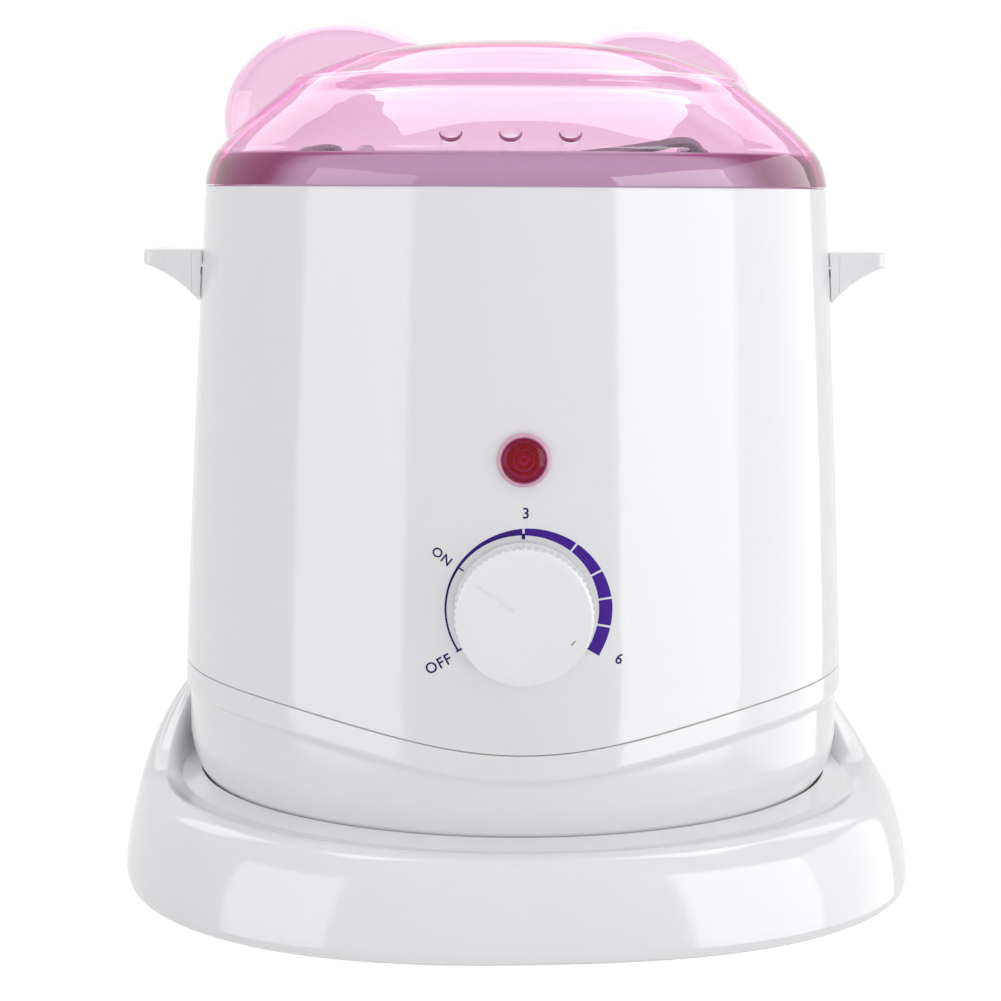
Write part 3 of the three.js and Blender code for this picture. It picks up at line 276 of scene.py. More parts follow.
def math_node(tree, operation, a, b):
    """Works out a value from two sockets, or from a socket and a number."""
    node = tree.nodes.new("ShaderNodeMath")
    node.operation = operation
    tree.links.new(a, node.inputs[0])
    if isinstance(b, float):
        node.inputs[1].default_value = b
    else:
        tree.links.new(b, node.inputs[1])
    return node.outputs["Value"]


class Nodes:
    """Short names for building a node material."""

    def __init__(self, name):
        self.material = bpy.data.materials.new(name)
        self.material.use_nodes = True
        self.tree = self.material.node_tree
        self.tree.nodes.clear()
        self.output = self.tree.nodes.new("ShaderNodeOutputMaterial")
        self.place = self.add("ShaderNodeTexCoord").outputs["Object"]

    def add(self, kind, **settings):
        node = self.tree.nodes.new(kind)
        for key, value in settings.items():
            setattr(node, key, value)
        return node

    def link(self, a, b):
        self.tree.links.new(a, b)

    def shader(self, color, roughness, **sockets):
        node = self.add("ShaderNodeBsdfPrincipled")
        node.inputs["Base Color"].default_value = (*color, 1)
        node.inputs["Roughness"].default_value = roughness
        for key, value in sockets.items():
            node.inputs[key.replace("_", " ")].default_value = value
        self.link(node.outputs["BSDF"], self.output.inputs["Surface"])
        self.bsdf = node

    def noise(self, scale, detail=3.0, roughness=0.5, stretch=None):
        node = self.add("ShaderNodeTexNoise")
        node.inputs["Scale"].default_value = scale
        node.inputs["Detail"].default_value = detail
        node.inputs["Roughness"].default_value = roughness
        source = self.place
        if stretch:
            mapping = self.add("ShaderNodeMapping")
            mapping.inputs["Scale"].default_value = stretch
            self.link(source, mapping.inputs["Vector"])
            source = mapping.outputs["Vector"]
        self.link(source, node.inputs["Vector"])
        return node.outputs["Fac"]

    def ramp(self, value, low, high, from_low=0.3, from_high=0.7):
        node = self.add("ShaderNodeMapRange")
        node.inputs["From Min"].default_value = from_low
        node.inputs["From Max"].default_value = from_high
        node.inputs["To Min"].default_value = low
        node.inputs["To Max"].default_value = high
        self.link(value, node.inputs["Value"])
        return node.outputs["Result"]

    def mix(self, factor, a, b):
        node = self.add("ShaderNodeMix", data_type="RGBA")
        for side, value in (("A", a), ("B", b)):
            if isinstance(value, tuple):
                node.inputs[side].default_value = (*value, 1)
            else:
                self.link(value, node.inputs[side])
        self.link(factor, node.inputs["Factor"])
        return node.outputs["Result"]

    def bump(self, height, strength, distance):
        node = self.add("ShaderNodeBump")
        node.inputs["Strength"].default_value = strength
        node.inputs["Distance"].default_value = distance
        self.link(height, node.inputs["Height"])
        return node.outputs["Normal"]

    def wire(self, output, name):
        self.link(output, self.bsdf.inputs[name])

    def mottle(self, color, other, *noise):
        """Gives the colour patches of another, placed by noise."""
        patches = self.ramp(self.noise(*noise), 0, 1)
        self.wire(self.mix(patches, color, other), "Base Color")

    def circles(self):
        """Distance from the Z axis and height along it, for turned metal."""
        split = self.add("ShaderNodeSeparateXYZ")
        self.link(self.place, split.inputs["Vector"])
        join = self.add("ShaderNodeCombineXYZ")
        self.link(split.outputs["X"], join.inputs["X"])
        self.link(split.outputs["Y"], join.inputs["Y"])
        length = self.add("ShaderNodeVectorMath", operation="LENGTH")
        self.link(join.outputs["Vector"], length.inputs[0])
        return length.outputs["Value"], split.outputs["Z"]

    def absorption(self, color, density):
        """Light lost inside the solid, more of it the longer the way through."""
        volume = self.add("ShaderNodeVolumeAbsorption")
        volume.inputs["Color"].default_value = (*color, 1)
        volume.inputs["Density"].default_value = density
        self.link(volume.outputs["Volume"], self.output.inputs["Volume"])


def white_plastic(name, color=(0.84, 0.84, 0.845), roughness=0.1):
    """Glossy moulded plastic: faint flow in its colour, faint orange peel in its gloss."""
    n = Nodes(name)
    n.shader(color, roughness, IOR=1.5)
    n.mottle(color, tuple(c * 0.985 for c in color), 9, 2, 0.5, (1, 1, 0.35))
    n.wire(n.ramp(n.noise(60, 4, 0.6), roughness * 0.8, roughness * 1.25), "Roughness")
    n.wire(n.bump(n.noise(420, 2, 0.4), 0.025, 0.0004), "Normal")
    return n.material


def satin_plastic(name, color, roughness=0.42, grain=900, bend=1.48):
    """Moulded plastic with a fine spark-eroded grain."""
    n = Nodes(name)
    n.shader(color, roughness, IOR=bend)
    n.mottle(color, tuple(c * 0.86 for c in color), 40)
    n.wire(n.ramp(n.noise(grain, 2), roughness * 0.85, roughness * 1.2), "Roughness")
    n.wire(n.bump(n.noise(grain, 3, 0.6), 0.25, 0.0002), "Normal")
    return n.material


def clear_plastic(name, color, density, absorb, roughness=0.015, bend=1.49):
    """Clear tinted plastic that deepens with the length of the light's path through it."""
    n = Nodes(name)
    n.shader(color, roughness, IOR=bend, Transmission_Weight=1.0)
    n.wire(n.ramp(n.noise(25, 3), roughness * 0.6, roughness * 1.6), "Roughness")
    n.wire(n.bump(n.noise(55, 2, 0.4, (1, 1, 0.6)), 0.03, 0.0006), "Normal")
    n.absorption(absorb, density)
    return n.material


def clear_lid(name, gloss):
    """Clear pink, pale on the dome; painted shade makes it deeper in the skirt, deepest at its sides and
    the crown's edge.
    """
    n = Nodes(name)
    # Painted shade: the skirt's tint stands in for the shaded collar seen through it. The side tint
    # stands in for the shade and longer path where the skirt turns edge-on. The crease tint makes a dark
    # line along the crown's edge.
    pale, skirt_shade_tint = (0.985, 0.88, 0.94), (0.85, 0.72, 0.84)
    side_shade_tint, crease_shade_tint = (0.36, 0.012, 0.19), (0.42, 0.06, 0.24)
    n.shader(pale, 0.012, IOR=1.01, Transmission_Weight=1.0,
             Coat_Weight=gloss, Coat_IOR=1.5, Coat_Roughness=0.015)

    def both(a, b):
        return math_node(n.tree, "MULTIPLY", a, b)

    facing = n.add("ShaderNodeLayerWeight")
    facing.inputs["Blend"].default_value = 0.5
    facing = facing.outputs["Facing"]
    split = n.add("ShaderNodeSeparateXYZ")
    n.link(n.place, split.inputs["Vector"])
    skirt = n.ramp(split.outputs["Z"], 1, 0, 0.1768, 0.1774)
    # Painted shade at the skirt's sides, where they turn edge-on.
    side = both(n.ramp(facing, 0, 1, 0.31, 0.43), skirt)
    crown = n.ramp(split.outputs["Z"], 0, 1, 0.190, 0.194)
    front = n.ramp(split.outputs["Y"], 1, 0, 0.003, 0.006)
    # Painted shade along the crown's edge, where it is seen edge-on.
    crease = both(both(n.ramp(facing, 0, 1, 0.90, 0.95), front), crown)
    color = n.mix(side, n.mix(skirt, pale, skirt_shade_tint), side_shade_tint)
    n.wire(n.mix(crease, color, crease_shade_tint), "Base Color")
    n.absorption((0.90, 0.38, 0.75), 90.0)
    return n.material


def rubber(name, color=(0.022, 0.022, 0.024)):
    """Matt moulded rubber with a fine grain."""
    n = Nodes(name)
    n.shader(color, 0.62, IOR=1.46)
    n.mottle(color, tuple(c * 1.7 + 0.004 for c in color), 180, 4, 0.65)
    n.wire(n.ramp(n.noise(350, 3), 0.5, 0.74), "Roughness")
    n.wire(n.bump(n.noise(1400, 3), 0.3, 0.0002), "Normal")
    return n.material


def turned_metal(name, color, roughness):
    """Spun metal: fine rings round the Z axis and faint smudges."""
    n = Nodes(name)
    n.shader(color, roughness, Metallic=1.0)
    radius, height = n.circles()
    total = math_node(n.tree, "ADD", radius, height)
    grooves = n.add("ShaderNodeTexNoise", noise_dimensions="1D")
    grooves.inputs["Scale"].default_value = 2600
    grooves.inputs["Detail"].default_value = 3
    n.link(total, grooves.inputs["W"])
    n.wire(n.ramp(grooves.outputs["Fac"], roughness * 0.75, roughness * 1.35), "Roughness")
    n.wire(n.bump(grooves.outputs["Fac"], 0.16, 0.00006), "Normal")
    n.mottle(color, tuple(c * 0.9 for c in color), 30, 4)
    return n.material


def plain_metal(name, color, roughness):
    """Drawn or stamped metal with faint scratches along Y."""
    n = Nodes(name)
    n.shader(color, roughness, Metallic=1.0)
    n.mottle(color, tuple(c * 0.82 for c in color), 90, 4)
    n.wire(n.ramp(n.noise(500, 4, 0.6, (1, 0.15, 1)), roughness * 0.7, roughness * 1.4), "Roughness")
    n.wire(n.bump(n.noise(500, 3, 0.5, (1, 0.15, 1)), 0.08, 0.0002), "Normal")
    return n.material


def fibre(name, color):
    """Woven or felted insulation."""
    n = Nodes(name)
    n.shader(color, 0.9, IOR=1.4, Sheen_Weight=0.3)
    threads = n.noise(700, 4, 0.7, (1, 1, 0.2))
    n.wire(n.mix(n.ramp(threads, 0, 1), color, tuple(c * 0.7 for c in color)), "Base Color")
    n.wire(n.bump(threads, 0.6, 0.0006), "Normal")
    return n.material


def ink(name, color):
    """Pad-printed ink, slightly uneven."""
    n = Nodes(name)
    n.shader(color, 0.45, IOR=1.22)
    n.mottle(color, tuple(c * 0.9 + 0.002 for c in color), 700)
    n.wire(n.ramp(n.noise(900, 2), 0.4, 0.52), "Roughness")
    return n.material


# Name, maker and the maker's values for every material
MATERIALS = {name: make(name, *values) for name, make, *values in (
    ("white_plastic", white_plastic),
    ("knob_plastic", white_plastic, (0.88, 0.88, 0.885), 0.22),
    ("grey_plastic", satin_plastic, (0.30, 0.31, 0.33)),
    ("clear_pink", clear_lid, 1.0),
    ("clear_pink_inside", clear_lid, 0.0),
    # Painted shade for the dark crescents along the vents' lower edges.
    ("deep_pink", satin_plastic, (0.34, 0.06, 0.20), 0.2, 300),
    ("pink_plastic", satin_plastic, (0.74, 0.40, 0.55), 0.2, 300),
    ("red_lens", clear_plastic, (0.62, 0.13, 0.31), 120.0, (0.9, 0.1, 0.35), 0.02, 1.25),
    ("prism", satin_plastic, (0.80, 0.02, 0.03), 0.12, 60, 1.3),
    ("lamp_glass", clear_plastic, (0.98, 0.9, 0.82), 40.0, (0.9, 0.7, 0.5)),
    ("foot_rubber", rubber),
    ("seal_rubber", rubber, (0.42, 0.11, 0.06)),
    ("steel", plain_metal, (0.60, 0.61, 0.63), 0.22),
    ("bail_wire", plain_metal, (0.30, 0.295, 0.31), 0.22),
    ("heater_steel", plain_metal, (0.30, 0.25, 0.20), 0.45),
    ("aluminium", turned_metal, (0.72, 0.73, 0.75), 0.24),
    ("brass", plain_metal, (0.72, 0.50, 0.20), 0.3),
    ("fibre", fibre, (0.72, 0.69, 0.60)),
    ("ceramic_white", satin_plastic, (0.70, 0.67, 0.60), 0.35, 600),
    ("lead_sleeve", satin_plastic, (0.22, 0.08, 0.05), 0.4, 500),
    ("ink", ink, (0.058, 0.012, 0.30)),
    ("ink_arc", ink, (0.040, 0.009, 0.21)),
    ("ink_dark", ink, (0.020, 0.006, 0.115)),
)}
LEAD_COLOURS = {
    "live_lead": (0.16, 0.055, 0.02),
    "neutral_lead": (0.02, 0.09, 0.36),
    "thermostat_lead": (0.03, 0.03, 0.033),
    "lamp_lead": (0.42, 0.02, 0.02),
}


def wear(obj, material):
    obj.data.materials.clear()
    obj.data.materials.append(material)


# Every node of the frame takes its slot's material; a replaced one isn't shown.
for part in frame["record"]["subparts"]:
    wear(frame["nodes"][part["node"]], MATERIALS[part["material_slot"]])
for lead, colour in LEAD_COLOURS.items():
    wear(frame["nodes"][lead], satin_plastic("sleeve_" + lead, colour, 0.4, 500))


def settle(obj, slot, body, *nodes, material=None):
    """Gives a piece its material, its body and the CAD nodes that it stands for."""
    wear(obj, MATERIALS[material or slot])
    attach(obj, body)
    if nodes:
        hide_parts(*nodes)


# Housing

BOWL_R = WAIST_R - CREASE_STEP
BOWL_POINTS = [(BOWL_R * r, blend(BOWL_FLOOR_Z, BOWL_RIM_Z, z)) for r, z in BOWL_SHARES]
BOWL_LINE = curve_through(BOWL_POINTS, 4)
SHELL_TOP = RIM_Z - 0.05
REBATE_Z = RIM_Z - 1.6 - 0.15
REBATE_WALL = 1.25


def upper_line(azimuth):
    bottom = seam_height(azimuth) + 0.1
    levels = [bottom + (SHELL_TOP - bottom) * i / 26 for i in range(27)]
    corners = [(housing_radius(z), z) for z in levels]
    radii = [0.3] + [0] * 25 + [0.5]
    corners += [
        (housing_radius(SHELL_TOP) - REBATE_WALL, SHELL_TOP),
        (housing_radius(REBATE_Z) - REBATE_WALL, REBATE_Z),
        (housing_radius(REBATE_Z) - WALL, REBATE_Z),
        (housing_radius(110) - WALL, 110),
        (housing_radius(bottom) - WALL, bottom),
    ]
    return rounded(corners, radii + [0.3, 0.1, 0.2, 0, 0.3])


def lower_line(azimuth):
    seam = seam_height(azimuth) - 0.1
    crease = seam - CREASE_DROP
    outside = [(housing_radius(seam), seam), (housing_radius(crease), crease)]
    outside += [(BOWL_R, crease - CREASE_STEP)] + BOWL_LINE[::-1]
    inside = offset(BOWL_LINE, -WALL)[::3]
    lip = housing_radius(seam) - WALL - GAP
    corners = outside + [(0, BOWL_FLOOR_Z), (0, BOWL_FLOOR_Z + WALL)] + inside + [
        (lip - 1.6, seam), (lip - 1.6, seam + 4), (lip, seam + 4), (lip, seam)]
    radii = [0.3, 1.4, 1.4] + [0] * (len(corners) - 3)
    radii[-2] = radii[-3] = 0.3
    return rounded(corners, radii)


SHELL_STEPS = 240
settle(lofted("upper_shell", upper_line, SHELL_STEPS), "white_plastic", "heater", "upper_housing")
settle(lofted("lower_shell", lower_line, SHELL_STEPS), "white_plastic", "heater", "lower_housing")

# Collar inside the lid, and what it holds

UPSTAND_R = 0.97 * LID_R - LID_WALL - 1.0
UPSTAND_INNER = UPSTAND_R - 2.0
FUNNEL_R = UPSTAND_INNER - 3.3
LEDGE_R = FUNNEL_R - 6.4
LEDGE_Z = RIM_Z - 4.9
COLLAR_TOP = RIM_Z + 7.7
CHAMBER_OUTER = LEDGE_R - 0.9
CHAMBER_INNER = CHAMBER_OUTER - 1.5
FLANGE_BOTTOM = LEDGE_Z + 1.2 + GAP
FLANGE_TOP = FLANGE_BOTTOM + 1.5
CHAMBER_FLOOR = FLANGE_TOP - 67.7
POT_OUTER = CHAMBER_INNER - 1.3
POT_INNER = POT_OUTER - 1.2
POT_BOTTOM = CHAMBER_FLOOR + 5.8
BEAD_OUTER = POT_OUTER + 5.4
BEAD_BOTTOM = FLANGE_TOP + GAP
BEAD_TOP = BEAD_BOTTOM + 4.0

flange_edge = housing_radius(SHELL_TOP) - REBATE_WALL - 0.15
spigot = housing_radius(RIM_Z - 1.6) - WALL - GAP
middle = blend(FUNNEL_R, UPSTAND_INNER, 0.4)
collar = turned("collar", rounded([
    (flange_edge, RIM_Z), (UPSTAND_R + 0.3, RIM_Z), (UPSTAND_R, COLLAR_TOP), (UPSTAND_INNER, COLLAR_TOP),
    (middle, RIM_Z), (FUNNEL_R, LEDGE_Z), (LEDGE_R, LEDGE_Z), (LEDGE_R, LEDGE_Z - 2.2),
    (FUNNEL_R + 1.6, LEDGE_Z - 2.2), (middle + 2, RIM_Z - 1.6), (spigot - 2, RIM_Z - 1.6),
    (spigot - 2, RIM_Z - 7.6), (spigot, RIM_Z - 7.6), (spigot, RIM_Z - 1.6), (flange_edge, RIM_Z - 1.6),
], [0.3, 0.8, 0.7, 0.7, 1.5, 0.8, 0.6, 0.6, 0.5, 1, 0.3, 0.3, 0.3, 0.2, 0.2]))
settle(collar, "white_plastic", "heater", "top_collar")

chamber = turned("chamber", rounded([
    (0, CHAMBER_FLOOR), (CHAMBER_INNER, CHAMBER_FLOOR), (CHAMBER_INNER, FLANGE_TOP),
    (FUNNEL_R - 1.1, FLANGE_TOP), (FUNNEL_R - 1.1, FLANGE_BOTTOM), (CHAMBER_OUTER, FLANGE_BOTTOM),
    (CHAMBER_OUTER, CHAMBER_FLOOR - 1.5), (0, CHAMBER_FLOOR - 1.5),
], [0, 5.5, 0.7, 0.5, 0.5, 0.3, 6.5, 0], arc=6))
settle(chamber, "aluminium", "heater", "heating_chamber")

pot = turned("wax_pot", rounded([
    (0, POT_BOTTOM + 1.2), (POT_INNER, POT_BOTTOM + 1.2), (POT_INNER, BEAD_TOP), (BEAD_OUTER, BEAD_TOP),
    (BEAD_OUTER, BEAD_BOTTOM), (POT_OUTER, BEAD_BOTTOM), (POT_OUTER, POT_BOTTOM), (0, POT_BOTTOM),
], [0, 3.0, 1.9, 1.9, 1.9, 0.5, 4.2, 0], arc=6))
settle(pot, "aluminium", "pot", "inner_pot")

# Stand

STAND_R, STAND_FRONT, STAND_POWER = 98.05, 0.998, 2.5
STAND_TURN = radians(3.6)
RIDGE_Z, REAR_Z = 23.3, 45.6
RISE_FROM, RISE_TO = radians(80), radians(124)
MOAT_R = WAIST_R + 1
FRONT_RIM = [(0.19, 0.973), (0.357, 1), (0.55, 0.986), (0.717, 0.892), (0.833, 0.703), (0.929, 0.45),
             (0.987, 0.225), (1, 0.117)]
REAR_RIM = [(0.03, 0.965), (0.11, 1), (0.24, 0.981), (0.39, 0.88), (0.58, 0.671), (0.77, 0.394),
            (0.936, 0.185), (1, 0.06)]
FRONT_UNDER = [(0.743, 0.225), (0.647, 0.54), (0.467, 0.757), (0.287, 0.847), (0.03, 0.82)]
REAR_UNDER = [(0.724, 0.127), (0.614, 0.336), (0.402, 0.6), (0.255, 0.775), (0.184, 0.5)]


def stand_plan(radius, azimuth):
    """A radius of the stand, drawn out from the round moat towards its squarer edge."""
    own = azimuth - STAND_TURN
    across = abs(sin(own)) ** STAND_POWER
    along = abs(cos(own) / STAND_FRONT) ** STAND_POWER
    edge = (across + along) ** (-1 / STAND_POWER)
    outward = min(max((radius - MOAT_R) / (STAND_R - MOAT_R), 0), 1)
    return radius * blend(1, edge, outward)


def stand_rise(azimuth):
    """The share of the way from the low front rim to the raised rear rim."""
    return smooth(RISE_FROM, RISE_TO, off_front(azimuth - STAND_TURN))


def rim_points(front, rear, rise):
    return [(blend(MOAT_R, STAND_R, blend(f[0], r[0], rise)), blend(RIDGE_Z * f[1], REAR_Z * r[1], rise))
            for f, r in zip(front, rear)]


def stand_line(azimuth):
    rise = stand_rise(azimuth)
    seat = offset(BOWL_POINTS, 0.5)[:5]
    under = offset(BOWL_POINTS, 3.1)[:4][::-1]
    moat = (MOAT_R, RIDGE_Z - 0.9 * (1 - rise))
    rim = rim_points(FRONT_RIM, REAR_RIM, rise)
    top = curve_through(seat, 3) + curve_through([moat] + rim, 4)
    edge = [(STAND_R - 0.3, 1.0), (STAND_R - 1, 0.4), (STAND_R - 4, 0.4)]
    hollow = curve_through(rim_points(FRONT_UNDER, REAR_UNDER, rise), 2)
    line = [(0, seat[0][1])] + top + edge + hollow + under + [(0, under[-1][1])]
    return [(stand_plan(r, azimuth), z) for r, z in line]


settle(lofted("stand_shell", stand_line, SHELL_STEPS, False), "white_plastic", "heater", "base_stand")


def cover_line(azimuth):
    """The underside cover's section, with a shallow groove near its edge and near its middle."""
    edge = stand_plan(STAND_R - 4.3, azimuth)
    top, bottom, groove_top = 3.4, 1.6, 2.2
    return rounded([
        (0, top), (edge, top), (edge, bottom),
        (edge - 3, bottom), (edge - 3.6, groove_top), (edge - 9, groove_top), (edge - 9.6, bottom),
        (34, bottom), (33.4, groove_top), (28, groove_top), (27.4, bottom), (0, bottom),
    ], [0, 0.3, 0.5] + [0.2] * 8 + [0], arc=2)


settle(lofted("underside_cover", cover_line, STEPS, False), "grey_plastic", "heater", "bottom_cover")

FOOT_CIRCLE_R = 62
for i in range(4):
    at = polar(FOOT_CIRCLE_R, i / 4 * TURN + radians(45), 0)
    foot = turned("rubber_foot_%d" % (i + 1), rounded([
        (0, 0.5), (3.4, 0.5), (4.0, 0), (7, 0), (7, 1.45),
        (2.4, 1.45), (2.4, 3.7), (3, 3.7), (2, 5.5), (0, 5.5),
    ], [0, 0.3, 0.2, 0.6, 0.1, 0.1, 0.1, 0.3, 0.5, 0]), 40)
    foot.data.transform(shift(at))
    settle(foot, "foot_rubber", "heater", "foot_%d" % (i + 1))

# Side handles

HANDLE_TOP = 153.8
HANDLE_HALF = 11


def handle_section(side, y, fullness):
    """A section across the grip at y; fullness rounds its plan off towards the two ends."""

    def inner(z):
        return sqrt((housing_radius(z) + GAP) ** 2 - y * y)

    root = HANDLE_TOP - 12.6
    tip = inner(HANDLE_TOP) + 14.1 * fullness
    tip_z = HANDLE_TOP - 3.6
    under = []
    for k in range(12):
        t = 1 - k / 12
        x, z = blend(inner(root), tip, t), blend(root, tip_z, t) + 5.4 * t * (1 - t)
        under.append((x, z))
    seat = [(inner(root), root), (inner(HANDLE_TOP) + 0.12, HANDLE_TOP)]
    line = rounded([(tip, HANDLE_TOP)] + under + seat, [0.9, 0.7] + [0] * 11 + [0.3, 0.3], arc=5)
    return [Vector((side * x, y, z)) for x, z in line]


GRIP_ENDS = [(0, 0.86), (0.08, 0.895), (0.25, 0.93), (0.55, 0.96), (1.0, 0.982), (1.6, 0.995), (2.4, 1)]
for side, side_name in ((-1, "left"), (1, "right")):
    spots = [(-HANDLE_HALF + inset, full) for inset, full in GRIP_ENDS]
    spots += [(0.5 * k, 1) for k in range(-16, 17)]
    spots += [(HANDLE_HALF - inset, full) for inset, full in GRIP_ENDS[::-1]]
    grip = skin("%s_grip" % side_name, [handle_section(side, y, full) for y, full in spots], 30)
    # A fine groove in each end of the grip, beside the housing.
    groove_x = housing_radius(HANDLE_TOP - 6) + 1.75
    groove_top, groove_bottom = HANDLE_TOP + 1, HANDLE_TOP - 16
    corners = ((-1, groove_top), (1, groove_top), (1, groove_bottom), (-1, groove_bottom))
    for end in (1, -1):
        rows = [[Vector((side * (groove_x + k * half), reach * end, z)) for k, z in corners]
                for half, reach in ((0.14, HANDLE_HALF + 1), (0.02, HANDLE_HALF - 0.2))]
        boolean(grip, "DIFFERENCE", skin("groove", rows), smooth_angle=30)
    settle(grip, "white_plastic", "heater", "%s_handle" % side_name)

# Lid

DOME_SHARES = [(1, 0), (0.998, 0.045), (0.985, 0.145), (0.97, 0.215), (0.958, 0.245), (0.933, 0.31),
               (0.885, 0.415), (0.83, 0.515), (0.755, 0.645), (0.7, 0.745), (0.56, 0.865), (0.455, 0.93),
               (0.25, 0.988), (0, 1)]
DOME = [(LID_R * r, LID_Z + LID_H * z) for r, z in DOME_SHARES]
EAR_HALVES, EAR_PLACE, EAR_TURN = (30.8, 11, 25), (39.4, 18.4, 185.6), radians(13.4)
SKIRT_TOP, CROWN_FOOT, CROWN_EDGE = 4, 7, 9
CROWN_RIM = [(62.6, 188.8), (60.2, 190.5), (58.1, 191.75), (57.2, 192.9), (57.0, 193.8),
             (56.3, 194.8), (55.1, 195.6), (53.6, 196.2)]


def dome_line(inset, z_bottom, azimuth=pi):
    """Half the dome's section; its crown has a rolled rim towards the front."""
    rolled = 1 - smooth(radians(22), radians(66), off_front(azimuth))
    plain = curve_through(DOME[CROWN_FOOT:CROWN_EDGE + 1], 4)[1:]
    rim = [(blend(p[0], r[0], rolled), blend(p[1], r[1], rolled)) for p, r in zip(plain, CROWN_RIM)]
    skirt = curve_through(DOME[:SKIRT_TOP + 1], 4)
    side = curve_through(DOME[SKIRT_TOP:CROWN_FOOT + 1] + rim + DOME[CROWN_EDGE + 1:], 4)[1:]
    wall = skirt + side
    if inset:
        wall = offset(wall, -inset)
        wall = [p for p in wall if p[1] > LID_Z + 0.01]
        wall[-1] = (0, DOME[-1][1] - inset)
        wall = [(wall[0][0], z_bottom)] + wall
    return [(0, z_bottom)] + wall


def ear(side, inset):
    """One ear-shaped grip as a flat ellipsoid; inset makes the hollow inside it."""
    rings, sides = 40, 72
    width, depth, height = (half - inset for half in EAR_HALVES)
    rows = []
    for i in range(rings + 1):
        tilt = i / rings * pi
        rows.append([Vector((width * cos(tilt),
                             depth * sin(tilt) * cos(a),
                             height * sin(tilt) * sin(a)))
                     for a in (k / sides * TURN for k in range(sides))])
    obj = loft("ear", rows, False, True)
    x, y, z = EAR_PLACE
    obj.data.transform(Matrix.Rotation(EAR_TURN, 4, "Z") @ shift((side * x, y, z)))
    return obj


def inner_faces(obj):
    """Marks a cutting solid's faces, so that the walls it leaves take the second material."""
    for _ in range(2):
        obj.data.materials.append(MATERIALS["clear_pink_inside"])
    obj.data.polygons.foreach_set("material_index", [1] * len(obj.data.polygons))


def slab(z_low, z_high, half):
    """A square block round the Z axis, for cutting."""
    corners = ((-half, -half), (half, -half), (half, half), (-half, half))
    return skin("slab", [[Vector((x, y, z)) for x, y in corners] for z in (z_low, z_high)])


def rod(start, end, radius, sides=32):
    """A straight round rod between two points, for cutting."""
    start, end = Vector(start), Vector(end)
    along = (end - start).normalized()
    u = square_to(along, UP)
    v = along.cross(u)
    ring = [radius * (cos(k / sides * TURN) * u + sin(k / sides * TURN) * v)
            for k in range(sides)]
    return skin("rod", [[start + p for p in ring], [end + p for p in ring]])


LID_STEPS = 216
dome_outer = lofted("lid_dome", lambda azimuth: dome_line(0, LID_Z, azimuth), LID_STEPS, False)
dome_inner = turned("lid_hollow", dome_line(LID_WALL, LID_Z - 2), LID_STEPS)
boolean(dome_outer, "UNION", ear(-1, 0), ear(1, 0))
boolean(dome_inner, "UNION", ear(-1, LID_WALL), ear(1, LID_WALL))
boolean(dome_outer, "DIFFERENCE", slab(100, LID_Z + 0.001, 160))
inner_faces(dome_inner)
boolean(dome_outer, "DIFFERENCE", dome_inner)
vents = []
for i in range(3):
    x = (i - 1) * VENT_STEP
    vent = rod((x, -78.5, VENT_Z + 7), (x, -63.5, VENT_Z - 8), VENT_R)
    vent.data.transform(Matrix.Rotation(-VENT_TURN, 4, "Z"))
    inner_faces(vent)
    vents.append(vent)
boolean(dome_outer, "DIFFERENCE", *vents, smooth_angle=32)
settle(dome_outer, "clear_pink", "lid", "lid")
dome_outer.data.materials.append(MATERIALS["clear_pink_inside"])

DOME_OUTLINE = dome_line(0, LID_Z)


def dome_radius(z):
    for (r, low), (s, high) in zip(DOME_OUTLINE[1:], DOME_OUTLINE[2:]):
        if low <= z <= high:
            return blend(r, s, (z - low) / max(high - low, 1e-6))
    return 0.0


# A raised lip along the lower edge of each vent, in dark pink: painted shade where the vent's lower wall
# shows dark.
for i in range(3):
    shade_crescent_rows = []
    for k in range(25):
        along = k / 24
        angle = blend(radians(172), radians(368), along)
        x, z = (i - 1) * VENT_STEP + 2.4 * cos(angle), VENT_Z + 1.6 * sin(angle)
        thick = blend(0.14, 0.42, sin(pi * along) ** 0.8)
        out = Vector((cos(angle) * 0.8, -0.3, sin(angle))).normalized()
        back = Vector((0, -0.7, 0.7))
        at = Vector((x, -sqrt(dome_radius(z) ** 2 - x * x), z))
        shade_crescent_rows.append([at + thick * (cos(a) * out + 0.7 * sin(a) * back)
                         for a in (q / 10 * TURN for q in range(10))])
    lip = skin("vent_shade_crescent_%d" % (i + 1), shade_crescent_rows, 60)
    lip.data.transform(Matrix.Rotation(-VENT_TURN, 4, "Z"))
    settle(lip, "clear_pink", "lid", material="deep_pink")

# Knob, dial and pilot lamp

KNOB_R, KNOB_DEPTH, FLUTE_DEPTH = 15.4, 10.4, 0.32
KNOB_BACK_Y = -housing_radius(DIAL_Z) - 1.1
KNOB_ANGLE = radians(56.5)
FLUTES = 60


def knob_radius(angle, flute):
    """The knob's radius; flute is the share of the flutes' depth, 0 for their middle."""
    wave = 0.5 + 0.5 * cos(FLUTES * angle)
    return KNOB_R - FLUTE_DEPTH * (1 - wave ** 2.2) * flute if flute else KNOB_R - 0.5 * FLUTE_DEPTH


def knob_ring(forward, radius_at):
    """Points round the knob's axis, forward of its back; radius_at gives each angle's radius."""
    row = []
    for k in range(FLUTES * 8):
        angle = k / (FLUTES * 8) * TURN
        r = radius_at(angle)
        row.append(Vector((r * sin(angle), KNOB_BACK_Y - forward, DIAL_Z + r * cos(angle))))
    return row


# Share of the radius, distance forward and share of the flutes' depth
KNOB_PROFILE = [
    (1.0, 0.0, 0.0), (1.0, 0.35, 0.6), (1.0, 0.9, 1), (1.0, 3.5, 1), (1.0, 6.4, 1), (1.0, 8.8, 1),
    (0.995, 9.5, 0.85), (0.982, 9.95, 0.4), (0.965, 10.2, 0.12), (0.94, 10.33, 0.0),
    (0.8, 10.36, 0), (0.5, 10.38, 0), (0.2, 10.4, 0), (0.0, 10.4, 0),
]
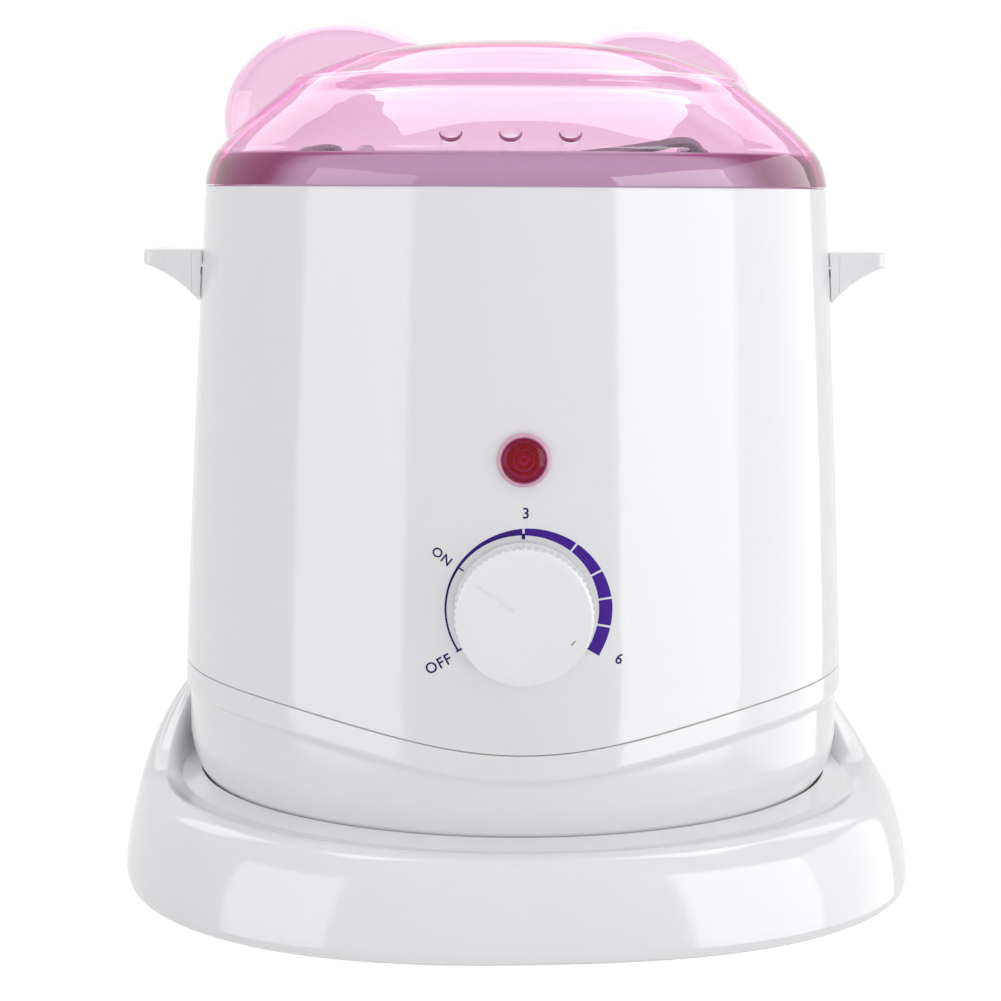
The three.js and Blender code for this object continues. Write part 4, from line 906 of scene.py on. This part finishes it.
# Radius and distance forward of the recess and hub behind
KNOB_BACK = [(14.2, 0.0), (13.6, 0.5), (13.4, 6.5), (12.8, 7.0), (6.0, 7.0), (5.6, 6.6),
             (5.4, 3.6), (0.0, 3.6)]
knob_rows = [knob_ring(forward, lambda angle: r) for r, forward in KNOB_BACK[::-1]]
knob_rows += [knob_ring(forward, lambda angle: knob_radius(angle, flute) * share)
              for share, forward, flute in KNOB_PROFILE]
knob = loft("knob_cap", knob_rows, False, True, 50)
GROOVE_FLOOR = ((-0.3, 3.2), (0.3, 3.2), (0.3, 12.6), (-0.3, 12.6))
GROOVE_MOUTH = ((-0.7, 2.8), (0.7, 2.8), (0.7, 13.0), (-0.7, 13.0))
groove = skin("groove", [
    [Vector((x, KNOB_BACK_Y - KNOB_DEPTH + 0.28, z)) for x, z in GROOVE_FLOOR],
    [Vector((x, KNOB_BACK_Y - KNOB_DEPTH - 0.5, z)) for x, z in GROOVE_MOUTH],
])
turn = Matrix.Rotation(-KNOB_ANGLE, 4, "Y")
groove.data.transform(shift((0, 0, DIAL_Z)) @ turn)
boolean(knob, "DIFFERENCE", groove, smooth_angle=50)
NOTCH = ((-0.6, -0.2), (0.6, -0.2), (0.6, 0.2), (-0.6, 0.2))
notch = skin("notch", [[Vector((x, KNOB_BACK_Y - KNOB_DEPTH + depth, z)) for x, z in NOTCH]
                       for depth in (0.9, -0.4)])
notch.data.transform(shift((10.6, 0, DIAL_Z - 5.2)) @ Matrix.Rotation(radians(-48), 4, "Y"))
boolean(knob, "DIFFERENCE", notch, smooth_angle=50)
settle(knob, "white_plastic", "knob", "control_knob", material="knob_plastic")

INK_LIFT = INK_DEPTH = 0.05


def on_face(x, z, lift):
    """A point in front of the housing's face, at x and z."""
    r = housing_radius(z) + lift
    return Vector((x, -sqrt(r * r - x * x), z))


def printed(name, cells, material):
    """A thin closed print on the face, from rows of (x, z) points."""
    rows = [[on_face(x, z, INK_LIFT) for x, z in row] for row in cells]
    backs = [[on_face(x, z, INK_LIFT - INK_DEPTH) for x, z in row] for row in cells]
    count, height = len(rows[0]), len(rows)
    points = [p for row in rows for p in row] + [p for row in backs for p in row]
    base = count * height
    faces = []
    for i in range(height - 1):
        for j in range(count - 1):
            a = i * count + j
            b, c, d = a + 1, a + count + 1, a + count
            faces += [(a, b, c, d), (base + d, base + c, base + b, base + a)]
    rim = list(range(count)) + [i * count + count - 1 for i in range(1, height)]
    rim += [(height - 1) * count + j for j in range(count - 2, -1, -1)]
    rim += [i * count for i in range(height - 2, 0, -1)]
    for a, b in zip(rim, rim[1:] + rim[:1]):
        faces.append((a, b, base + b, base + a))
    settle(make_object(name, points, faces), "white_plastic", "heater", material=material)


DIAL_SPREAD = 1.02
RING_R = 16.6
THIN, MIDDLE, WIDE = 0.4, 1.5, 2.95
OFF_ANGLE, ON_ANGLE, HOT_ANGLE = radians(-123.4), radians(-56.5), radians(121.5)


def dial_cell(angle, radius):
    """A place on the dial, which is a little wider than high."""
    return DIAL_SPREAD * radius * sin(angle), DIAL_Z + radius * cos(angle)


def ring_width(angle):
    if angle < 0:
        return blend(THIN, MIDDLE, ((angle - OFF_ANGLE) / -OFF_ANGLE) ** 3)
    return blend(MIDDLE, WIDE, min(angle / radians(85), 1))


# The ring's spans: two thin ones up to the middle mark, then five wide ones with breaks between.
HALF_TOP_BREAK, HALF_BREAK = 0.014, 0.013
BREAKS = [radians(a) for a in (38.5, 63.2, 82.7, 102.0)]
spans = [(OFF_ANGLE, ON_ANGLE), (ON_ANGLE, -HALF_TOP_BREAK)]
starts = [HALF_TOP_BREAK] + [a + HALF_BREAK for a in BREAKS]
ends = [a - HALF_BREAK for a in BREAKS] + [HOT_ANGLE]
spans += list(zip(starts, ends))
for k, (a, b) in enumerate(spans):
    cuts = max(int(degrees(b - a) / 2.5), 3)
    angles = [blend(a, b, i / cuts) for i in range(cuts + 1)]
    cells = [[dial_cell(angle, RING_R + ring_width(angle) * share) for angle in angles]
             for share in (0, 0.5, 1)]
    printed("scale_band_%d" % (k + 1), cells, ("ink_dark", "ink_arc", "ink")[min(k, 2)])
# Angle, inner and outer radius and half the width of each tick
TICKS = ((OFF_ANGLE, 15.9, 17.3, 0.2), (ON_ANGLE, 15.5, 17.2, 0.17),
         (0, 15.75, 17.0, 0.38), (HOT_ANGLE, 15.7, 19.7, 0.2))
for k, (angle, inner, outer, half) in enumerate(TICKS):
    across = Vector((cos(angle), -sin(angle)))
    cells = []
    for r in (inner, blend(inner, outer, 0.5), outer):
        x, z = dial_cell(angle, r)
        cells.append([(x + s * half * across.x, z + s * half * across.y) for s in (-1, 1)])
    printed("scale_tick_%d" % (k + 1), cells, "ink_dark")


def lettered(name, words, x, z, height, angle):
    """Printed characters on the face, centred at x and z."""
    data = bpy.data.curves.new(name, "FONT")
    data.body = words
    data.align_x = data.align_y = "CENTER"
    data.space_character = 1.12
    data.resolution_u = 4
    data.offset = 0.012
    text = link_object(name, data)
    bpy.context.view_layer.update()
    mesh = evaluated_mesh(text)
    bpy.data.objects.remove(text, do_unlink=True)
    bm = bmesh.new()
    bm.from_mesh(mesh)
    bpy.data.meshes.remove(mesh)
    bmesh.ops.remove_doubles(bm, verts=bm.verts, dist=1e-5)
    xs, ys = [v.co.x for v in bm.verts], [v.co.y for v in bm.verts]
    mid_x, mid_y = 0.5 * (max(xs) + min(xs)), 0.5 * (max(ys) + min(ys))
    scale = height / (max(ys) - min(ys))
    front = list(bm.faces)
    extruded = bmesh.ops.extrude_face_region(bm, geom=front, use_keep_orig=True)
    raised = {v for v in extruded["geom"] if isinstance(v, bmesh.types.BMVert)}
    c, s = cos(angle), sin(angle)
    for v in bm.verts:
        u, w = (v.co.x - mid_x) * scale, (v.co.y - mid_y) * scale
        px, pz = x + u * c + w * s, z - u * s + w * c
        v.co = on_face(px, pz, INK_LIFT if v in raised else INK_LIFT - INK_DEPTH) * MM
    bmesh.ops.triangulate(bm, faces=bm.faces)
    bmesh.ops.recalc_face_normals(bm, faces=bm.faces)
    out = bpy.data.meshes.new(name)
    bm.to_mesh(out)
    bm.free()
    shade(out)
    settle(link_object(name, out), "white_plastic", "heater", material="ink_dark")


lettered("mark_off", "OFF", -18.7, DIAL_Z - 12.4, 2.45, radians(-30))
lettered("mark_on", "ON", -18.0, DIAL_Z + 11.7, 2.15, radians(38))
lettered("mark_middle", "3", 0.5, DIAL_Z + 21.5, 2.45, 0)
lettered("mark_hot", "6", 21.6, DIAL_Z - 11.3, 2.45, radians(20))

LAMP_Y = -housing_radius(LAMP_Z)
bezel = front_turned("lamp_rim", rounded([
    (3.9, -8), (4.7, -8), (4.7, 0.12), (5.95, 0.12), (5.95, 0.9),
    (5.6, 1.5), (5.1, 1.5), (5.0, 0.5), (3.9, 0.3),
], [0.2, 0.2, 0.1, 0.1, 0.5, 0.4, 0.25, 0.1, 0.1]), LAMP_Y, LAMP_Z, 72)
settle(bezel, "pink_plastic", "heater", "lamp_bezel")

lens = front_turned("lamp_window", rounded([
    (0, 0.7), (4.85, 0.7), (4.85, 1.3), (4.3, 1.75), (3.2, 2.15), (1.6, 2.42), (0, 2.5),
], [0, 0.1, 0.3, 0.8, 1.2, 1.2, 0]), LAMP_Y, LAMP_Z, 64)
settle(lens, "red_lens", "heater", "lamp_lens")

# A faceted insert behind the lens: share of its radius, distance forward and share of a side's turn
PRISM_R, PRISM_SIDES = 4.6, 8
PRISM = ((0.0, -2.4, 0), (1.0, -2.4, 0), (1.0, -1.3, 0), (0.82, -1.1, 0.5), (0.74, 0.1, 0),
         (0.66, 0.2, 0.5), (0.5, -0.5, 0), (0.42, 0.15, 0.5), (0.2, -0.4, 0), (0.0, -0.1, 0))
prism_rows = []
for share, forward, turn_share in PRISM:
    r = PRISM_R * share
    angles = [(k + turn_share) / PRISM_SIDES * TURN + 0.3 for k in range(PRISM_SIDES)]
    prism_rows.append([Vector((r * sin(a), LAMP_Y - 0.3 - forward, LAMP_Z + r * cos(a)))
                       for a in angles])
settle(loft("lamp_prism", prism_rows, False, True, 5), "red_lens", "heater", material="prism")

# Bail with its lugs

POT_TURN = radians(42)
LUG_HALF, LUG_HOLE_Z = 3.5, 5.0
PIVOT_Z = BEAD_TOP + LUG_HOLE_Z
WIRE_R = 1.2
BAIL_R = BEAD_OUTER + WIRE_R + 1.7
LUG_R = blend(POT_INNER, BEAD_OUTER, 0.5)
HOOK_R = LUG_R - 2.75
BEND_R, BEND_STEPS = 2.4, 6
BEND_TURN = BEND_R / BAIL_R
BAIL_STEPS, BAIL_SAG, BAIL_RISE = 96, 4, 5.4


def bail_bend(i, azimuth, way):
    """A point of the bend between a lug and the wire's run round the pot."""
    t = i / (BEND_STEPS + 1) * pi / 2
    r = BAIL_R - BEND_R * (1 - sin(t))
    return polar(r, azimuth + way * BEND_TURN * (1 - cos(t)), PIVOT_Z)


def bail_height(along):
    """The wire stands up beside each lug and sags between the two."""
    past_lug = min(along, pi - along) - BEND_TURN
    rise = BAIL_RISE * (1 - exp(-past_lug / 0.06)) * exp(-past_lug / 0.24)
    return PIVOT_Z + rise - BAIL_SAG * sin(along) ** 1.6


path = [polar(r, POT_TURN, PIVOT_Z) for r in (HOOK_R, LUG_R)]
path += [bail_bend(i, POT_TURN, -1) for i in range(1, BEND_STEPS + 1)]
for i in range(BAIL_STEPS + 1):
    along = blend(BEND_TURN, pi - BEND_TURN, i / BAIL_STEPS)
    path.append(polar(BAIL_R, POT_TURN - along, bail_height(along)))
path += [bail_bend(i, POT_TURN - pi, 1) for i in range(BEND_STEPS, 0, -1)]
path += [polar(r, POT_TURN - pi, PIVOT_Z) for r in (LUG_R, HOOK_R)]
settle(tube("wire_bail", path, WIRE_R, 16, 0.5), "steel", "bail", "bail", material="bail_wire")


def lug(name, azimuth, node):
    """An upright plate on the pot's bead with a round top and the hole for the wire's end."""
    arc = [k / 16 * pi for k in range(1, 16)]
    outline = [(-LUG_HALF, 0), (LUG_HALF, 0), (LUG_HALF, LUG_HOLE_Z)]
    outline += [(LUG_HALF * cos(a), LUG_HOLE_Z + LUG_HALF * sin(a)) for a in arc]
    outline.append((-LUG_HALF, LUG_HOLE_Z))
    sides = []
    for y, inset in ((-0.8, 0.15), (-0.65, 0), (0.65, 0), (0.8, 0.15)):
        across, up = 1 - inset / LUG_HALF, 1 - inset / (LUG_HOLE_Z + LUG_HALF)
        sides.append([Vector((x * across, y, max(z * up, 0))) for x, z in outline])
    plate = skin(name, sides)
    hole = rod((0, -3, LUG_HOLE_Z), (0, 3, LUG_HOLE_Z), WIRE_R + 0.35, 24)
    boolean(plate, "DIFFERENCE", hole)
    place = shift(polar(LUG_R, azimuth, BEAD_TOP + 0.15))
    plate.data.transform(place @ Matrix.Rotation(azimuth, 4, "Z"))
    settle(plate, "aluminium", "pot", node)


lug("front_lug", POT_TURN, "pot_lug_front")
lug("rear_lug", POT_TURN + pi, "pot_lug_rear")

# Cord gland at the rear

GLAND_Z = 66
GLAND_Y = housing_radius(GLAND_Z)
gland = front_turned("cord_bush", rounded([
    (3.4, -9), (5.6, -9), (5.6, 0.3), (8, 0.3), (8, 1.4), (6.4, 2.4), (3.4, 2.4),
], [0.3, 0.3, 0.1, 0.2, 0.5, 0.8, 0.7]), 0, 0, 64)
gland.data.transform(shift((0, GLAND_Y, GLAND_Z)) @ Matrix.Rotation(pi, 4, "Z"))
settle(gland, "grey_plastic", "heater", "cord_gland")

# Camera, light and floor

FOCAL_PX = 2400.0
FRAME_PX = 1001.0
HORIZON_PX = 195.0
SENSOR = 36.0
PITCH = atan((FRAME_PX / 2 - HORIZON_PX) / FOCAL_PX)
DISTANCE = 604.8
EYE_Z = 167.5
EYE_TURN = radians(1.2)
EYE_SHIFT = 3.4
ROLL = radians(0.3)

camera_data = bpy.data.cameras.new("camera")
camera_data.sensor_width = SENSOR
camera_data.lens = SENSOR * FOCAL_PX / FRAME_PX
camera_data.clip_start = 0.01
camera = link_object("camera", camera_data)
right = Vector((cos(EYE_TURN), -sin(EYE_TURN), 0))
eye = polar(DISTANCE, -EYE_TURN, EYE_Z) - right * EYE_SHIFT
camera.matrix_world = (shift(eye) @ Matrix.Rotation(-EYE_TURN, 4, "Z")
                       @ Matrix.Rotation(pi / 2 - PITCH, 4, "X") @ Matrix.Rotation(ROLL, 4, "Z"))
bpy.context.scene.camera = camera


def rectangle_light(name, width, height, radiance):
    """An area light that faces down."""
    data = bpy.data.lights.new(name, "AREA")
    data.shape = "RECTANGLE"
    data.size = width * MM
    data.size_y = height * MM
    data.energy = radiance * pi * width * height * MM * MM
    return link_object(name, data)


def area_light(name, azimuth, elevation, distance, width, height, radiance, aim_z=100):
    """An area light that faces a point on the Z axis from an azimuth and elevation."""
    obj = rectangle_light(name, width, height, radiance)
    az, el = radians(azimuth), radians(elevation)
    target = Vector((0, 0, aim_z))
    away = polar(cos(el), az, sin(el))
    facing = away.to_track_quat("Z", "Y").to_matrix().to_4x4()
    obj.matrix_world = shift(target + distance * away) @ facing
    return obj


# Name, azimuth, elevation, distance, width, height and radiance
LAMPS = (
    ("soft_right", 66, 6, 1300, 900, 1500, 1.36),
    ("soft_left", -62, 6, 1300, 900, 1500, 0.84),
    ("soft_top", 0, 74, 1100, 1300, 800, 1.35),
    ("soft_back_right", 140, 20, 1500, 800, 1400, 1.0),
    ("soft_back_left", -140, 20, 1500, 800, 1400, 0.6),
    ("soft_front", 4, -2, 1500, 1100, 1300, 1.15),
)
for lamp in LAMPS:
    obj = area_light(*lamp)
    obj.visible_glossy = obj.visible_transmission = obj.visible_camera = False
# Cards that only the gloss shows: three bands on the body and two sheens on the lid. The
# crown's card aims higher.
CARDS = (
    ("card_left", -59.5, 4, 3000, 2363, 2600, 2.2),
    ("card_right", 57.75, 4, 3000, 2640, 2600, 3.9),
    ("card_far_right", 107.3, 4, 3000, 2900, 2600, 1.65),
    ("card_crown", 180, 39, 1500, 2400, 560, 1.4, 190),
)
cards = [area_light(*card) for card in CARDS]
sheen = rectangle_light("card_top", 963, 760, 3.4)
sheen.matrix_world = shift((77, 400, 1090))
for obj in cards + [sheen]:
    obj.visible_diffuse = obj.visible_transmission = obj.visible_camera = False


def looked_at(tree):
    """Light paths, and 1 for those from the camera or through something clear."""
    rays = tree.nodes.new("ShaderNodeLightPath").outputs
    return rays, math_node(tree, "MAXIMUM", rays["Is Camera Ray"], rays["Is Transmission Ray"])


def show_mix(tree, share, a, b, output):
    """Shows shader a, or b by its share."""
    node = tree.nodes.new("ShaderNodeMixShader")
    for source, socket in zip((share, a, b), node.inputs):
        tree.links.new(source, socket)
    tree.links.new(node.outputs["Shader"], output.inputs["Surface"])


def plain_light(tree, kind, color, strength):
    node = tree.nodes.new(kind)
    node.inputs["Color"].default_value = (*color, 1)
    node.inputs["Strength"].default_value = strength
    return node.outputs[0]


# White where the camera looks, through the lid and in the gloss; a dimmer fill elsewhere
WHITE = (1, 1, 1)
world = bpy.data.worlds.new("studio")
world.use_nodes = True
bpy.context.scene.world = world
tree = world.node_tree
tree.nodes.clear()
seen = plain_light(tree, "ShaderNodeBackground", WHITE, 1.0)
fill = plain_light(tree, "ShaderNodeBackground", (0.95, 0.96, 1), 0.4)
rays, direct = looked_at(tree)
shown = math_node(tree, "MAXIMUM", direct, rays["Is Glossy Ray"])
show_mix(tree, shown, fill, seen, tree.nodes.new("ShaderNodeOutputWorld"))

FLOOR_HALF, FLOOR_Z = 4000, -0.05
FLOOR_CORNERS = ((-1, -1), (1, -1), (1, 1), (-1, 1))
floor_points = [(x * FLOOR_HALF, y * FLOOR_HALF, FLOOR_Z) for x, y in FLOOR_CORNERS]
floor_mesh = bpy.data.meshes.new("floor")
floor_mesh.from_pydata([Vector(p) * MM for p in floor_points], [], [(0, 1, 2, 3)])
floor = link_object("floor", floor_mesh)
ground = Nodes("floor")
PALE_FLOOR = (0.86, 0.86, 0.86)
ground.shader(PALE_FLOOR, 0.6)
ground.mottle(PALE_FLOOR, (0.84, 0.84, 0.84), 3, 2)
glow = plain_light(ground.tree, "ShaderNodeEmission", WHITE, 1.3)
share = math_node(ground.tree, "MULTIPLY", looked_at(ground.tree)[1], 0.72)
show_mix(ground.tree, share, ground.bsdf.outputs["BSDF"], glow, ground.output)
floor_mesh.materials.append(ground.material)
floor.visible_glossy = False

bpy.context.scene.view_settings.view_transform = "Standard"
